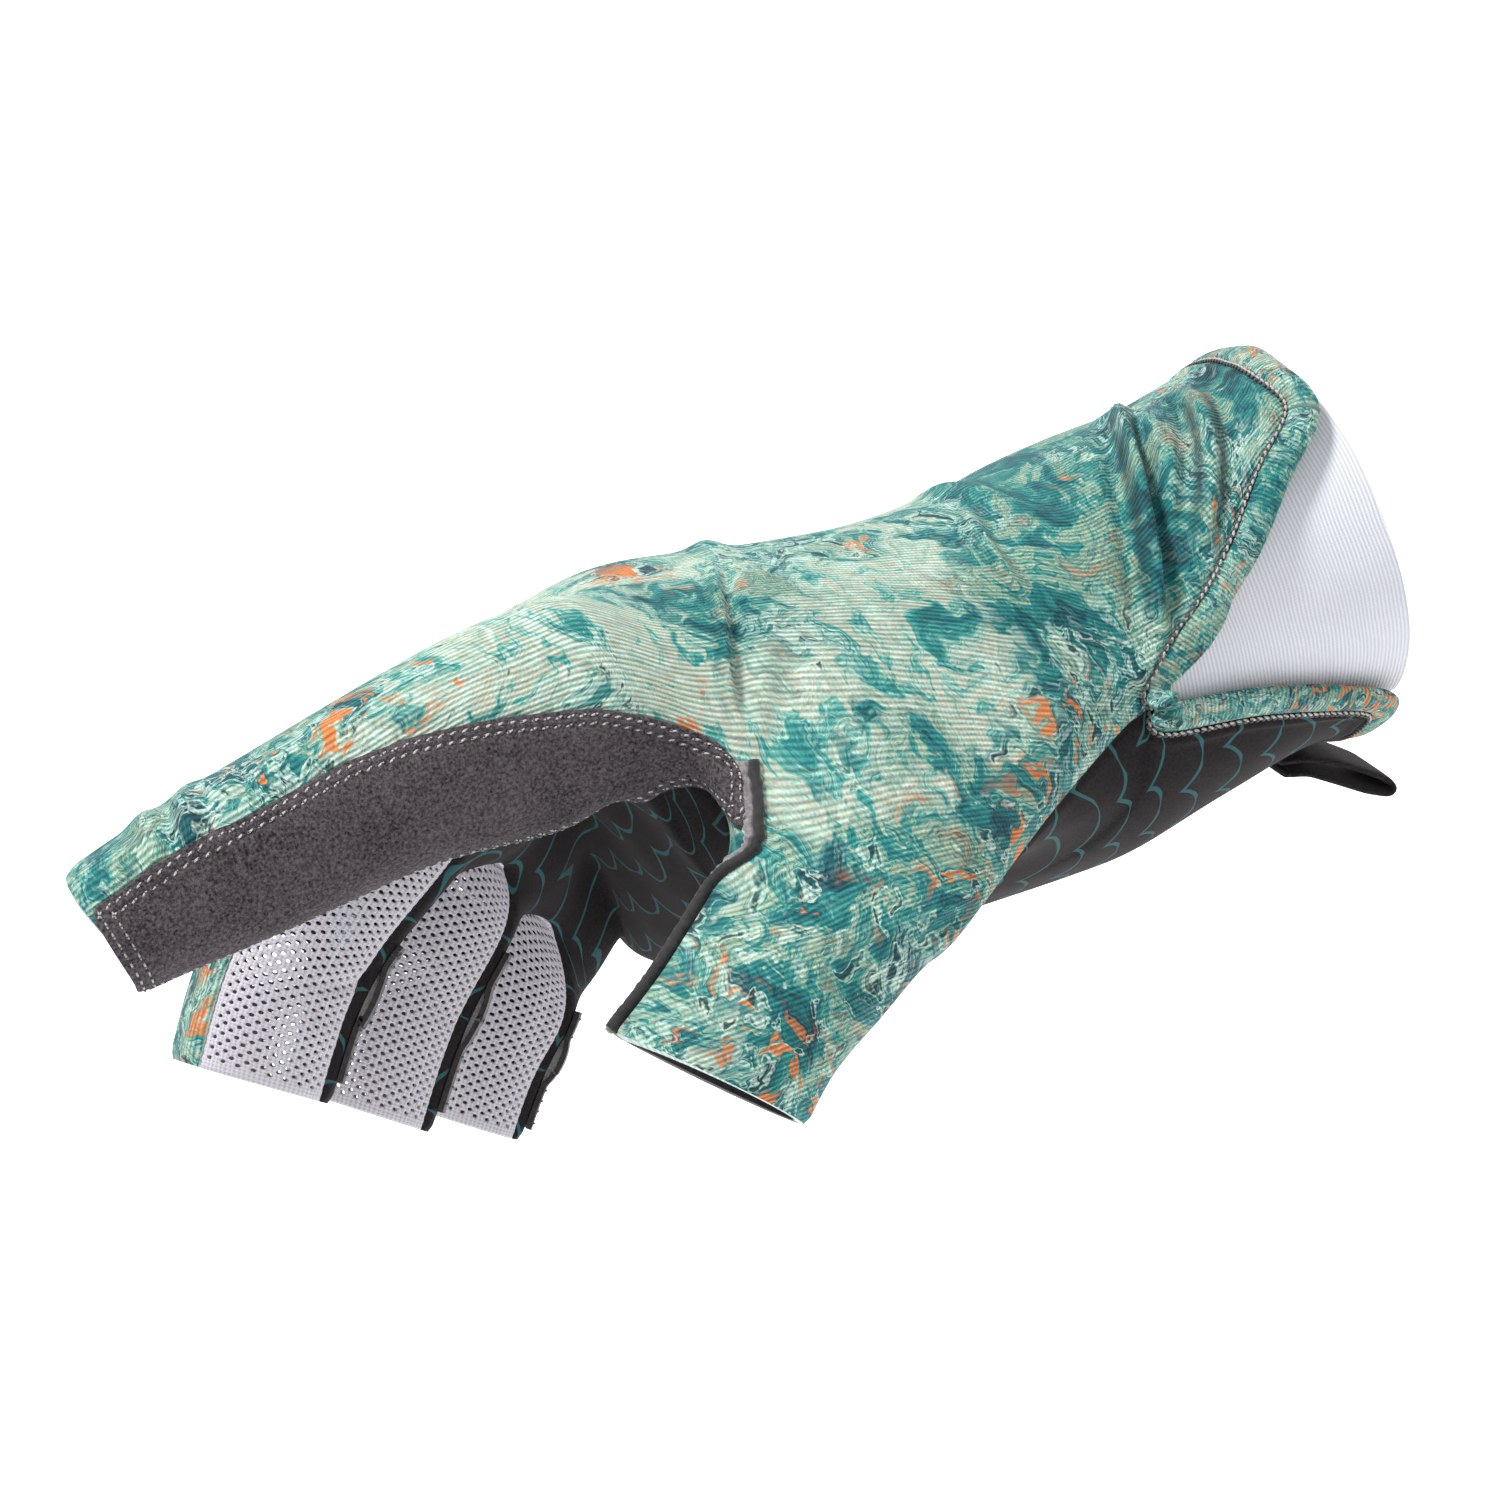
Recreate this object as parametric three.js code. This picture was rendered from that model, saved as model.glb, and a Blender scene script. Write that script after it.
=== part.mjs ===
// Fingerless fishing glove for a right hand, as worn: fingers towards -X, wrist towards +X,
// thumb side towards -Y, back of the hand towards +Z. The origin is the middle of the wrist opening.
import * as THREE from "three";

// Driving sizes, in millimetres. The glove is measured from the middle of the wrist opening.
const GLOVE_LENGTH = 183;
const PALM_WIDTH = 86;
const HAND_HEIGHT = 56;
const FINGER_HEIGHT = 20;
const FINGER_WIDTH = 19;
const THUMB_WIDTH = 25;
const CLOTH = 1.2;
const SEAM_GAP = 0.3;
const LAID_GAP = 0.7;
const GUARD_CLOTH = 1.0;
const GUSSET_CLOTH = 1.0;
const GUSSET_OVERLAP = 7;
const GUSSET_SWELL = 1.2;
const GUSSET_TUCK = 1.5;
const HEM_WIDTH = 4.4;
const HEM_THICKNESS = 2.8;
const HEM_END_X = -4.5;
const WELT_WIDTH = 1.8;
const WELT_HEIGHT = 1.3;
const PULL_RISE = 1.1;
const PULL_CLOTH = 0.9;
const TAB_WIDTH = 14;
const TAB_REACH = 14.5;
const TAB_CLOTH = 1.1;

// Shape settings: angles in degrees, counts, and shares
const TAB_ROLL = 18;
const TAB_ANGLE = -108;
const TAB_ROW = 1;
const SIDES = 20;
const THUMB_SIDE = 19;
const LITTLE_SIDE = 9;
const NOTCH_ROWS = 4;
const THUMB_FIRST_ROW = 5;
const THUMB_LAST_ROW = 9;
const KNUCKLE_ROWS = 3;
const ROUNDNESS = 2.3;
const CORNER_ACROSS = 0.74;
const CORNER_UP = 0.8;
const BUNCHING_FROM = 0.2;
const BUNCHING_TO = 0.52;
const FIT_ROUNDS = 6;
const FIT_SHARE = 0.9;
const LEAST_CORNER = 0.4;
const GUARD_STEPS = 30;
const GUARD_ACROSS = 10;
const GUSSET_STEPS = 12;
const HEM_SIDES = 8;
const PULL_STEPS = 8;
const PULL_ACROSS = 5;
const WELT_STEPS = 4;
const WELT_PAST = 2;

// The hand's sections from the cuff to the thumb's crotch. along is a share of GLOVE_LENGTH, middle and
// half a share of PALM_WIDTH. lift, back, front, frontLittle and drop are shares of HAND_HEIGHT: the
// section's centre, its rise to the back, its depth to the palm on the thumb side and on the little
// finger's side, and how much lower the little finger's side hangs. upper, seam and lower are the heights,
// as shares of HAND_HEIGHT, of the cuff's notch or thumb hole and of the side seam.
const HAND_SECTIONS = [
  ["along", "middle", "half", "lift", "back", "front", "frontLittle", "drop", "upper", "seam", "lower"],
  [0.057, 0, 0.36, 0, 0.485, 0.46, 0.47, 0, 0.34, 0, -0.405],
  [0.092, 0, 0.362, 0, 0.465, 0.455, 0.465, 0, 0.255, 0, -0.36],
  [0.133, 0, 0.368, -0.01, 0.46, 0.46, 0.475, 0.01, 0.135, 0, -0.32],
  [0.178, 0, 0.38, -0.018, 0.475, 0.47, 0.49, 0.035, 0.02, 0, -0.285],
  [0.238, 0, 0.4, -0.027, 0.485, 0.49, 0.51, 0.07, -0.125, -0.185, -0.245],
  [0.28, 0.005, 0.424, -0.027, 0.485, 0.485, 0.49, 0.125, -0.08, -0.235, -0.36],
  [0.34, 0.005, 0.453, -0.018, 0.485, 0.475, 0.465, 0.18, 0, -0.22, -0.43],
  [0.41, 0.005, 0.477, 0.018, 0.485, 0.465, 0.45, 0.25, 0.08, -0.2, -0.4],
  [0.486, 0, 0.488, 0.08, 0.475, 0.42, 0.45, 0.3, 0.13, -0.12, -0.29],
  [0.563, -0.005, 0.494, 0.16, 0.45, 0.38, 0.44, 0.355, 0.11, -0.05, -0.17],
];

// The stations of each finger, from the knuckle over the web to the cut end. along, across and up place
// the middle, as shares of GLOVE_LENGTH, PALM_WIDTH and HAND_HEIGHT. tall and wide are shares of
// FINGER_HEIGHT and FINGER_WIDTH.
const FINGER_COLUMNS = ["along", "across", "up", "tall", "wide"];
const FINGERS = {
  index: [
    [0.612, -0.365, 0.282, 1.42, 1.14],
    [0.661, -0.365, 0.285, 1.38, 1.14],
    [0.716, -0.368, 0.278, 1.27, 1.13],
    [0.78, -0.372, 0.262, 1.12, 1.08],
    [0.84, -0.38, 0.238, 1.05, 1.03],
    [0.9, -0.387, 0.213, 0.98, 0.97],
    [0.944, -0.392, 0.192, 0.9, 0.94],
    [0.981, -0.395, 0.172, 0.84, 0.92],
  ],
  middle: [
    [0.612, -0.12, 0.257, 1.44, 1.12],
    [0.661, -0.118, 0.24, 1.38, 1.12],
    [0.714, -0.118, 0.205, 1.28, 1.1],
    [0.766, -0.114, 0.13, 1.16, 1.06],
    [0.822, -0.112, 0.01, 1.1, 1.02],
    [0.868, -0.11, -0.13, 1.07, 1],
    [0.908, -0.108, -0.31, 1.05, 0.98],
  ],
  ring: [
    [0.596, 0.12, 0.125, 1.36, 1.08],
    [0.633, 0.121, 0.085, 1.28, 1.06],
    [0.67, 0.121, 0.022, 1.19, 1.03],
    [0.716, 0.122, -0.09, 1.1, 0.98],
    [0.77, 0.124, -0.265, 1.04, 0.95],
    [0.826, 0.126, -0.5, 1.01, 0.93],
  ],
  little: [
    [0.584, 0.352, -0.15, 1.26, 0.98],
    [0.613, 0.356, -0.21, 1.17, 0.97],
    [0.641, 0.361, -0.29, 1.08, 0.95],
    [0.67, 0.367, -0.385, 1, 0.92],
    [0.703, 0.374, -0.51, 0.93, 0.89],
    [0.738, 0.38, -0.66, 0.88, 0.86],
  ],
};

// How far each finger's sections over the hand lean with it, in degrees, from the knuckle to the web.
const KNUCKLE_LEANS = { index: [0, 0, 0], middle: [0, 0, 6], ring: [0, 8, 18], little: [8, 18, 30] };

// How far the thumb side and the back of each index section run ahead of its middle, as shares of their
// distances from it.
const INDEX_SKEWS = [0, 0, 0, 0, 0.04, 0.12, 0.22, 0.32];
const INDEX_RAKES = [0, 0, 0, 0, 0, 0.05, 0.12, 0.22];

// The thumb's stations, from the hand to the cut end: the places of its front and back seams as shares of
// GLOVE_LENGTH and HAND_HEIGHT, its middle across as a share of PALM_WIDTH, and its thickness from the
// nail side to the pad as a share of THUMB_WIDTH.
const THUMB_STATIONS = [
  ["frontAlong", "frontUp", "backAlong", "backUp", "across", "thick"],
  [0.588, -0.17, 0.425, -0.455, -0.505, 1.04],
  [0.618, -0.245, 0.475, -0.52, -0.53, 1.02],
  [0.649, -0.31, 0.52, -0.59, -0.555, 0.99],
  [0.676, -0.362, 0.563, -0.66, -0.57, 0.95],
  [0.7, -0.405, 0.597, -0.752, -0.58, 0.92],
];

// Folds that the worn cloth throws. Each runs over three points, placed by shares of GLOVE_LENGTH,
// PALM_WIDTH and HAND_HEIGHT. high and broad are its height and half breadth as shares of CLOTH.
const FOLDS = [
  [[0.152, -0.09, 0.49], [0.156, -0.3, 0.25], [0.19, -0.37, -0.05], 1.9, 2.6],
  [[0.077, -0.1, 0.44], [0.084, -0.2, 0.36], [0.09, -0.26, 0.27], -1.0, 2.6],
  [[0.305, -0.1, 0.45], [0.284, -0.24, 0.36], [0.262, -0.33, 0.2], 1.3, 2.1],
  [[0.482, -0.17, 0.5], [0.503, -0.38, 0.32], [0.53, -0.49, 0.09], 1.1, 2.1],
  [[0.9, -0.3, 0.34], [0.9, -0.42, 0.38], [0.905, -0.48, 0.28], 0.8, 1.7],
  [[0.935, -0.3, 0.32], [0.935, -0.42, 0.36], [0.94, -0.48, 0.27], 0.8, 1.5],
];

// How the guard on the index finger's side lies. along is a share of GLOVE_LENGTH, across and up place the
// line that it wraps round, its edges are angles above the thumb side, in degrees, and slant is how far a
// line over it runs to the wrist for each step up.
const GUARD_STATIONS = [
  ["along", "across", "up", "topEdge", "bottomEdge", "slant"],
  [0.98, -0.395, 0.172, 27, -78, -0.35],
  [0.93, -0.39, 0.2, 27, -80, -0.13],
  [0.87, -0.385, 0.226, 26, -80, -0.1],
  [0.8, -0.375, 0.255, 26, -80, -0.05],
  [0.76, -0.37, 0.268, 22, -78, 0],
  [0.7, -0.35, 0.28, 10, -74, 0],
  [0.63, -0.33, 0.278, -3, -66, 0.08],
  [0.562, -0.3, 0.26, -22, -47, 0.22],
  [0.524, -0.28, 0.25, -30, -39, 0.35],
];

// Where the columns of the hand's net lie round the index finger's own section on the three rows between
// the thumb's crotch and the web, in degrees: the back's two, the palm's two and the side seam.
const INDEX_TURNS = [
  ["backEdge", "backMiddle", "palmMiddle", "palmEdge", "seam"],
  [4, 62, -80, -48, -22],
  [22, 76, -84, -50, -12],
  [40, 88, -90, -52, -5],
];

// The angles of a hand section's columns at the knuckles, over the back from the thumb side.
const KNUCKLE_ANGLES = [24, 47, 67, 80, 91, 101, 114, 130, 155];

// The finger pulls, from a share of the finger's row of stations to another, counted from the web.
const PULLS = { middle: [0.46, 0.94], ring: [0.42, 0.94], little: [0.34, 0.94] };

// The angles of a finger pull's two edges above the finger's thumb side.
const PULL_EDGES = [-60, -118];

// The wrist tab's folded path behind the palm's rim, as shares of TAB_REACH towards the wrist and down.
const TAB_PATH = [
  [0, -0.052], [0.26, 0.01], [0.56, 0.16], [0.8, 0.34], [0.97, 0.48], [1.01, 0.57],
  [0.93, 0.61], [0.72, 0.5], [0.46, 0.31], [0.22, 0.14], [0, 0.07],
];

const FOURCHETTES = ["fourchette_index_middle", "fourchette_middle_ring", "fourchette_ring_little"];

const radians = (degrees) => (degrees * Math.PI) / 180;
const vector = (x, y, z) => new THREE.Vector3(x, y, z);
const placed = (along, across, up) => vector(-along * GLOVE_LENGTH, across * PALM_WIDTH, up * HAND_HEIGHT);

function namedRows(table) {
  const [names, ...rows] = table;
  return rows.map((row) => Object.fromEntries(names.map((name, i) => [name, row[i]])));
}

// A value of a table between two of its rows, at a share along.
function valueAt(rows, along, name) {
  const rising = rows[rows.length - 1].along > rows[0].along;
  const list = rising ? rows : [...rows].reverse();
  let i = 1;
  while (i < list.length - 1 && list[i].along < along) i += 1;
  const [low, high] = [list[i - 1], list[i]];
  const share = (along - low.along) / (high.along - low.along);
  return low[name] + (high[name] - low[name]) * share;
}

// One point of a hand section at an angle: 0 is the thumb side, 90 the back, 180 the little side.
function sectionPoint(section, angle, inset = 0) {
  const power = 2 / ROUNDNESS;
  const cosine = Math.cos(radians(angle));
  const sine = Math.sin(radians(angle));
  const share = -Math.sign(cosine) * Math.abs(cosine) ** power;
  const little = (share + 1) / 2;
  const front = section.front + (section.frontLittle - section.front) * little;
  const rise = (sine > 0 ? section.back : front) * HAND_HEIGHT - inset;
  const half = section.half * PALM_WIDTH - inset;
  const drop = section.drop * HAND_HEIGHT * Math.max(little, 0) ** 1.5;
  return vector(
    -section.along * GLOVE_LENGTH,
    section.middle * PALM_WIDTH + half * share,
    section.lift * HAND_HEIGHT + rise * Math.sign(sine) * Math.abs(sine) ** power - drop,
  );
}

// The hand's section at a share along, between two rows of the table.
function sectionAt(along) {
  const rows = namedRows(HAND_SECTIONS);
  const names = Object.keys(rows[0]).filter((name) => name !== "along");
  const inside = Math.max(along, rows[0].along);
  const values = names.map((name) => [name, valueAt(rows, inside, name)]);
  return { along, ...Object.fromEntries(values) };
}

// The angle at which a section of the thumb side passes a height.
function angleAt(section, height) {
  const above = height - section.lift;
  const reach = above > 0 ? section.back : section.front;
  const sine = Math.min(Math.abs(above) / reach, 1) ** (ROUNDNESS / 2);
  return (Math.sign(above) * Math.asin(sine) * 180) / Math.PI;
}

// The angles of the columns of one hand section: nine over the back, the little side, nine over the palm
// and the thumb side. Near the knuckles they close up on the fingers' edges.
function sectionAngles(section) {
  const upper = angleAt(section, section.upper);
  const seam = angleAt(section, section.seam);
  const lower = angleAt(section, section.lower);
  const close = THREE.MathUtils.smoothstep(section.along, BUNCHING_FROM, BUNCHING_TO);
  const spread = (start, i) => {
    const even = start + ((180 - start) * i) / KNUCKLE_ANGLES.length;
    const bunched = [start, (start + KNUCKLE_ANGLES[2]) / 2][i] ?? KNUCKLE_ANGLES[i];
    return even + (bunched - even) * close;
  };
  const back = KNUCKLE_ANGLES.map((_, i) => spread(upper, i));
  const palm = KNUCKLE_ANGLES.map((_, i) => -spread(-lower, i)).reverse();
  return [...back, 180, ...palm, seam];
}

// The eight points round a finger's station: back left, back, back right, right, palm right, palm,
// palm left and left, where left is the thumb side. Past the web a station stands square to the finger.
function fingerRing(rows, i, lean, skew = 0, rake = 0) {
  const at = (k) => placed(rows[k].along, rows[k].across, rows[k].up);
  const past = lean === undefined;
  const ahead = past
    ? at(Math.min(i + 1, rows.length - 1)).sub(at(i - 1)).normalize()
    : vector(-Math.cos(radians(lean)), 0, -Math.sin(radians(lean)));
  const right = vector(0, 1, 0).addScaledVector(ahead, -ahead.y).normalize();
  const up = right.clone().cross(ahead).normalize();
  const half = [(rows[i].wide * FINGER_WIDTH) / 2, (rows[i].tall * FINGER_HEIGHT) / 2];
  const shares = [
    [-CORNER_ACROSS, CORNER_UP], [0, 1], [CORNER_ACROSS, CORNER_UP], [1, 0],
    [CORNER_ACROSS, -CORNER_UP], [0, -1], [-CORNER_ACROSS, -CORNER_UP], [-1, 0],
  ];
  return shares.map(([across, rise]) => at(i)
    .addScaledVector(right, across * half[0])
    .addScaledVector(up, rise * half[1])
    .addScaledVector(ahead, rise * half[1] * rake - across * half[0] * skew));
}

// A point round an upright finger section at an angle above its thumb side.
function turnedPoint(row, angle) {
  const power = 2 / ROUNDNESS;
  const across = -(Math.cos(radians(angle)) ** power);
  const rise = Math.sign(angle) * Math.abs(Math.sin(radians(angle))) ** power;
  return placed(row.along, row.across, row.up)
    .add(vector(0, (across * row.wide * FINGER_WIDTH) / 2, (rise * row.tall * FINGER_HEIGHT) / 2));
}

// The smooth surface's target points and its coarse net of four-sided faces, each tagged with its panel.
function buildNet() {
  const points = [];
  const faces = [];
  const add = (point) => points.push(point) - 1;
  const sections = namedRows(HAND_SECTIONS);
  const rows = sections.map((section) =>
    sectionAngles(section).map((angle) => add(sectionPoint(section, angle))));
  const fingers = Object.values(FINGERS).map((list) => namedRows([FINGER_COLUMNS, ...list]));
  const leans = Object.values(KNUCKLE_LEANS);
  const turns = namedRows(INDEX_TURNS);
  for (let i = 0; i < KNUCKLE_ROWS; i += 1) {
    const rings = fingers.map((finger, f) => fingerRing(finger, i, leans[f][i]));
    const row = new Array(SIDES);
    const turned = (name) => add(turnedPoint(fingers[0][i], turns[i][name]));
    row[0] = turned("backEdge");
    row[1] = turned("backMiddle");
    row[17] = turned("palmMiddle");
    row[18] = turned("palmEdge");
    row[THUMB_SIDE] = turned("seam");
    for (let f = 1; f < fingers.length; f += 1) {
      row[2 * f + 1] = add(rings[f][1]);
      row[17 - 2 * f] = add(rings[f][5]);
    }
    row[8] = add(rings[3][2]);
    row[10] = add(rings[3][4]);
    row[LITTLE_SIDE] = add(rings[3][3]);
    for (let f = 0; f < fingers.length - 1; f += 1) {
      row[2 * f + 2] = add(rings[f][2].clone().add(rings[f + 1][0]).multiplyScalar(0.5));
      row[16 - 2 * f] = add(rings[f][4].clone().add(rings[f + 1][6]).multiplyScalar(0.5));
    }
    rows.push(row);
  }
  for (let i = 0; i < rows.length - 1; i += 1) {
    for (let c = 0; c < SIDES; c += 1) {
      const onThumbSide = c === THUMB_SIDE || c === THUMB_SIDE - 1;
      const inHole = i >= THUMB_FIRST_ROW && i < THUMB_LAST_ROW;
      if (onThumbSide && (i < NOTCH_ROWS || inHole)) continue;
      const next = (c + 1) % SIDES;
      const panel = c < LITTLE_SIDE || c === THUMB_SIDE ? "back_panel" : "palm_panel";
      faces.push({ at: [rows[i][c], rows[i][next], rows[i + 1][next], rows[i + 1][c]], panel });
    }
  }
  const web = rows[rows.length - 1];
  const webPoints = [0, 1, 2].map((f) => {
    const above = points[web[2 * f + 2]];
    const below = points[web[16 - 2 * f]];
    return add(above.clone().add(below).multiplyScalar(0.5));
  });
  fingers.forEach((finger, f) => {
    const right = f < 3 ? webPoints[f] : web[LITTLE_SIDE];
    const left = f > 0 ? webPoints[f - 1] : web[THUMB_SIDE];
    let ring = [
      web[2 * f], web[2 * f + 1], web[2 * f + 2], right,
      web[16 - 2 * f], web[17 - 2 * f], web[18 - 2 * f], left,
    ];
    const [back, palm] = ["back_panel", "palm_panel"];
    const rightPanels = f < 3 ? [FOURCHETTES[f], FOURCHETTES[f]] : [back, palm];
    const leftPanels = f > 0 ? [FOURCHETTES[f - 1], FOURCHETTES[f - 1]] : [palm, back];
    const panels = [back, back, ...rightPanels, palm, palm, ...leftPanels];
    for (let i = KNUCKLE_ROWS; i < finger.length; i += 1) {
      const slants = f === 0 ? [INDEX_SKEWS[i], INDEX_RAKES[i]] : [];
      const next = fingerRing(finger, i, undefined, ...slants).map(add);
      ring.forEach((_, k) => {
        const k2 = (k + 1) % 8;
        faces.push({ at: [ring[k], ring[k2], next[k2], next[k]], panel: panels[k] });
      });
      ring = next;
    }
  });
  const hole = [];
  for (let i = THUMB_LAST_ROW; i >= THUMB_FIRST_ROW; i -= 1) hole.push(rows[i][0]);
  hole.push(rows[THUMB_FIRST_ROW][THUMB_SIDE]);
  for (let i = THUMB_FIRST_ROW; i <= THUMB_LAST_ROW; i += 1) hole.push(rows[i][18]);
  hole.unshift(rows[THUMB_LAST_ROW][THUMB_SIDE]);
  const thumb = namedRows(THUMB_STATIONS);
  let ring = hole;
  const frontSeam = [hole[0]];
  thumb.forEach((station) => {
    const front = placed(station.frontAlong, station.across, station.frontUp);
    const back = placed(station.backAlong, station.across, station.backUp);
    const next = ring.map((_, k) => {
      const turn = (k / ring.length) * 2 * Math.PI;
      const thick = (Math.sin(turn) * station.thick * THUMB_WIDTH) / 2;
      return add(back.clone().lerp(front, (1 + Math.cos(turn)) / 2).add(vector(0, -thick, 0)));
    });
    ring.forEach((_, k) => {
      const k2 = (k + 1) % ring.length;
      const panel = k < ring.length / 2 ? "back_panel" : "palm_panel";
      faces.push({ at: [ring[k2], ring[k], next[k], next[k2]], panel });
    });
    ring = next;
    frontSeam.push(next[0]);
  });
  return tidyNet(points, faces, { rows, frontSeam });
}

// Drops the points that no face uses.
function tidyNet(points, faces, marks) {
  const used = new Map();
  const renumber = (i) => {
    if (!used.has(i)) used.set(i, used.size);
    return used.get(i);
  };
  const kept = faces.map((face) => ({ at: face.at.map(renumber), panel: face.panel }));
  const list = new Array(used.size);
  used.forEach((to, from) => {
    list[to] = points[from];
  });
  const rename = (ids) => ids.map((i) => (used.has(i) ? used.get(i) : -1));
  return {
    points: list,
    faces: kept,
    rows: marks.rows.map(rename),
    frontSeam: rename(marks.frontSeam),
  };
}

const edgeKey = (a, b) => (a < b ? `${a}_${b}` : `${b}_${a}`);

// The neighbours of each point of a net, which its smooth surface is worked out from.
function relations(net) {
  const edges = new Map();
  const around = net.points.map(() => ({ faces: [], rim: [], near: new Set() }));
  net.faces.forEach((face, f) => {
    face.at.forEach((a, k) => {
      const b = face.at[(k + 1) % 4];
      const key = edgeKey(a, b);
      if (!edges.has(key)) edges.set(key, { ends: [a, b], faces: [] });
      edges.get(key).faces.push(f);
      around[a].faces.push({ f, across: face.at[(k + 2) % 4] });
      around[a].near.add(b);
      around[b].near.add(a);
    });
  });
  edges.forEach(({ ends, faces }) => {
    if (faces.length !== 1) return;
    around[ends[0]].rim.push(ends[1]);
    around[ends[1]].rim.push(ends[0]);
  });
  return { edges, around };
}

const average = (list) =>
  list.reduce((sum, point) => sum.add(point), vector(0, 0, 0)).multiplyScalar(1 / list.length);

// Where each point of a Catmull-Clark net ends on the smooth surface.
function limitPoints(points, around) {
  return points.map((point, i) => {
    const { faces, rim, near } = around[i];
    if (rim.length === 2) {
      const ends = points[rim[0]].clone().add(points[rim[1]]);
      return point.clone().multiplyScalar(4).add(ends).multiplyScalar(1 / 6);
    }
    const n = faces.length;
    const sum = point.clone().multiplyScalar(n * n);
    near.forEach((j) => sum.addScaledVector(points[j], 4));
    faces.forEach(({ across }) => sum.add(points[across]));
    return sum.multiplyScalar(1 / (n * (n + 5)));
  });
}

// Moves a net's points until the smooth surface passes through the places that the tables give.
function fitted(net) {
  const { around } = relations(net);
  const points = net.points.map((point) => point.clone());
  for (let round = 0; round < FIT_ROUNDS; round += 1) {
    const limits = limitPoints(points, around);
    points.forEach((point, i) => point.addScaledVector(net.points[i].clone().sub(limits[i]), FIT_SHARE));
  }
  return { ...net, points };
}

// One step of Catmull-Clark subdivision, which keeps each face's panel.
function refine(net) {
  const { edges, around } = relations(net);
  const centres = net.faces.map((face) => average(face.at.map((i) => net.points[i])));
  const points = net.points.map((point, i) => {
    const { faces, rim, near } = around[i];
    if (rim.length === 2) {
      const ends = net.points[rim[0]].clone().add(net.points[rim[1]]);
      return point.clone().multiplyScalar(6).add(ends).multiplyScalar(1 / 8);
    }
    const n = faces.length;
    const faceMean = average(faces.map(({ f }) => centres[f]));
    const edgeMean = average([...near].map((j) => net.points[j])).add(point).multiplyScalar(0.5);
    return faceMean.addScaledVector(edgeMean, 2).addScaledVector(point, n - 3).multiplyScalar(1 / n);
  });
  const middles = new Map();
  edges.forEach(({ ends, faces }, key) => {
    const [a, b] = ends.map((i) => net.points[i]);
    const list = faces.length === 1 ? [a, b] : [a, b, centres[faces[0]], centres[faces[1]]];
    middles.set(key, points.push(average(list)) - 1);
  });
  const faces = [];
  net.faces.forEach((face, f) => {
    const centre = points.push(centres[f]) - 1;
    face.at.forEach((corner, k) => {
      const after = middles.get(edgeKey(corner, face.at[(k + 1) % 4]));
      const before = middles.get(edgeKey(face.at[(k + 3) % 4], corner));
      faces.push({ at: [corner, after, centre, before], panel: face.panel });
    });
  });
  const between = (list) => list.flatMap((i, k) => {
    const next = list[k + 1];
    const middle = next === undefined ? undefined : middles.get(edgeKey(i, next));
    return middle === undefined ? [i] : [i, middle];
  });
  return { points, faces, rows: net.rows, frontSeam: between(net.frontSeam) };
}

// Points on the smooth surface with outward normals, after the folds have moved them.
function finished(net) {
  const { around } = relations(net);
  const places = limitPoints(net.points, around);
  const normals = normalsOf(places, net.faces);
  places.forEach((place, i) => place.addScaledVector(normals[i], foldHeight(place)));
  return { ...net, points: places, normals: normalsOf(places, net.faces), around };
}

function normalsOf(points, faces) {
  const normals = points.map(() => vector(0, 0, 0));
  faces.forEach(({ at }) => {
    const [a, b, c, d] = at.map((i) => points[i]);
    const normal = c.clone().sub(a).cross(d.clone().sub(b));
    at.forEach((i) => normals[i].add(normal));
  });
  return normals.map((normal) => normal.normalize());
}

function foldHeight(place) {
  return FOLDS.reduce((sum, [from, via, to, high, broad]) => {
    const path = [from, via, to].map((shares) => placed(...shares));
    const nearest = [0, 1].map((k) => {
      const line = new THREE.Line3(path[k], path[k + 1]);
      return line.closestPointToPoint(place, true, vector(0, 0, 0)).distanceTo(place);
    });
    const off = Math.min(...nearest) / (broad * CLOTH);
    return sum + high * CLOTH * Math.exp(-off * off);
  }, 0);
}

// A closed wall of the given thickness under the faces of one panel, held back from its seams.
function panelWall(surface, panel, wall, heldBack) {
  const faces = surface.faces.filter((face) => face.panel === panel);
  const count = new Map();
  faces.forEach(({ at }) => at.forEach((a, k) => {
    const key = edgeKey(a, at[(k + 1) % 4]);
    count.set(key, (count.get(key) ?? 0) + 1);
  }));
  const pull = new Map();
  const rim = [];
  faces.forEach(({ at }) => {
    at.forEach((a, k) => {
      const b = at[(k + 1) % 4];
      if (count.get(edgeKey(a, b)) !== 1) return;
      rim.push([a, b]);
      const along = surface.points[b].clone().sub(surface.points[a]).normalize();
      const middle = average(at.map((i) => surface.points[i]));
      [a, b].forEach((i) => {
        const inward = middle.clone().sub(surface.points[i]);
        inward.addScaledVector(along, -inward.dot(along)).normalize();
        pull.set(i, [...(pull.get(i) ?? []), inward]);
      });
    });
  });
  const order = new Map();
  const outer = [];
  const inner = [];
  const place = (i) => {
    if (order.has(i)) return order.get(i);
    const point = surface.points[i].clone();
    if (pull.has(i)) {
      const mean = average(pull.get(i));
      point.addScaledVector(mean, heldBack / Math.max(mean.lengthSq(), LEAST_CORNER));
    }
    outer.push(point);
    inner.push(point.clone().addScaledVector(surface.normals[i], -wall));
    order.set(i, outer.length - 1);
    return outer.length - 1;
  };
  const quads = faces.map(({ at }) => at.map(place));
  const shell = outer.length;
  const triangles = quads.flatMap(([a, b, c, d]) => [
    [a, b, c], [a, c, d],
    [shell + a, shell + c, shell + b], [shell + a, shell + d, shell + c],
  ]);
  rim.forEach(([a, b]) => {
    const [i, j] = [place(a), place(b)];
    triangles.push([j, i, shell + i], [j, shell + i, shell + j]);
  });
  return geometryOf([...outer, ...inner], triangles);
}

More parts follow.
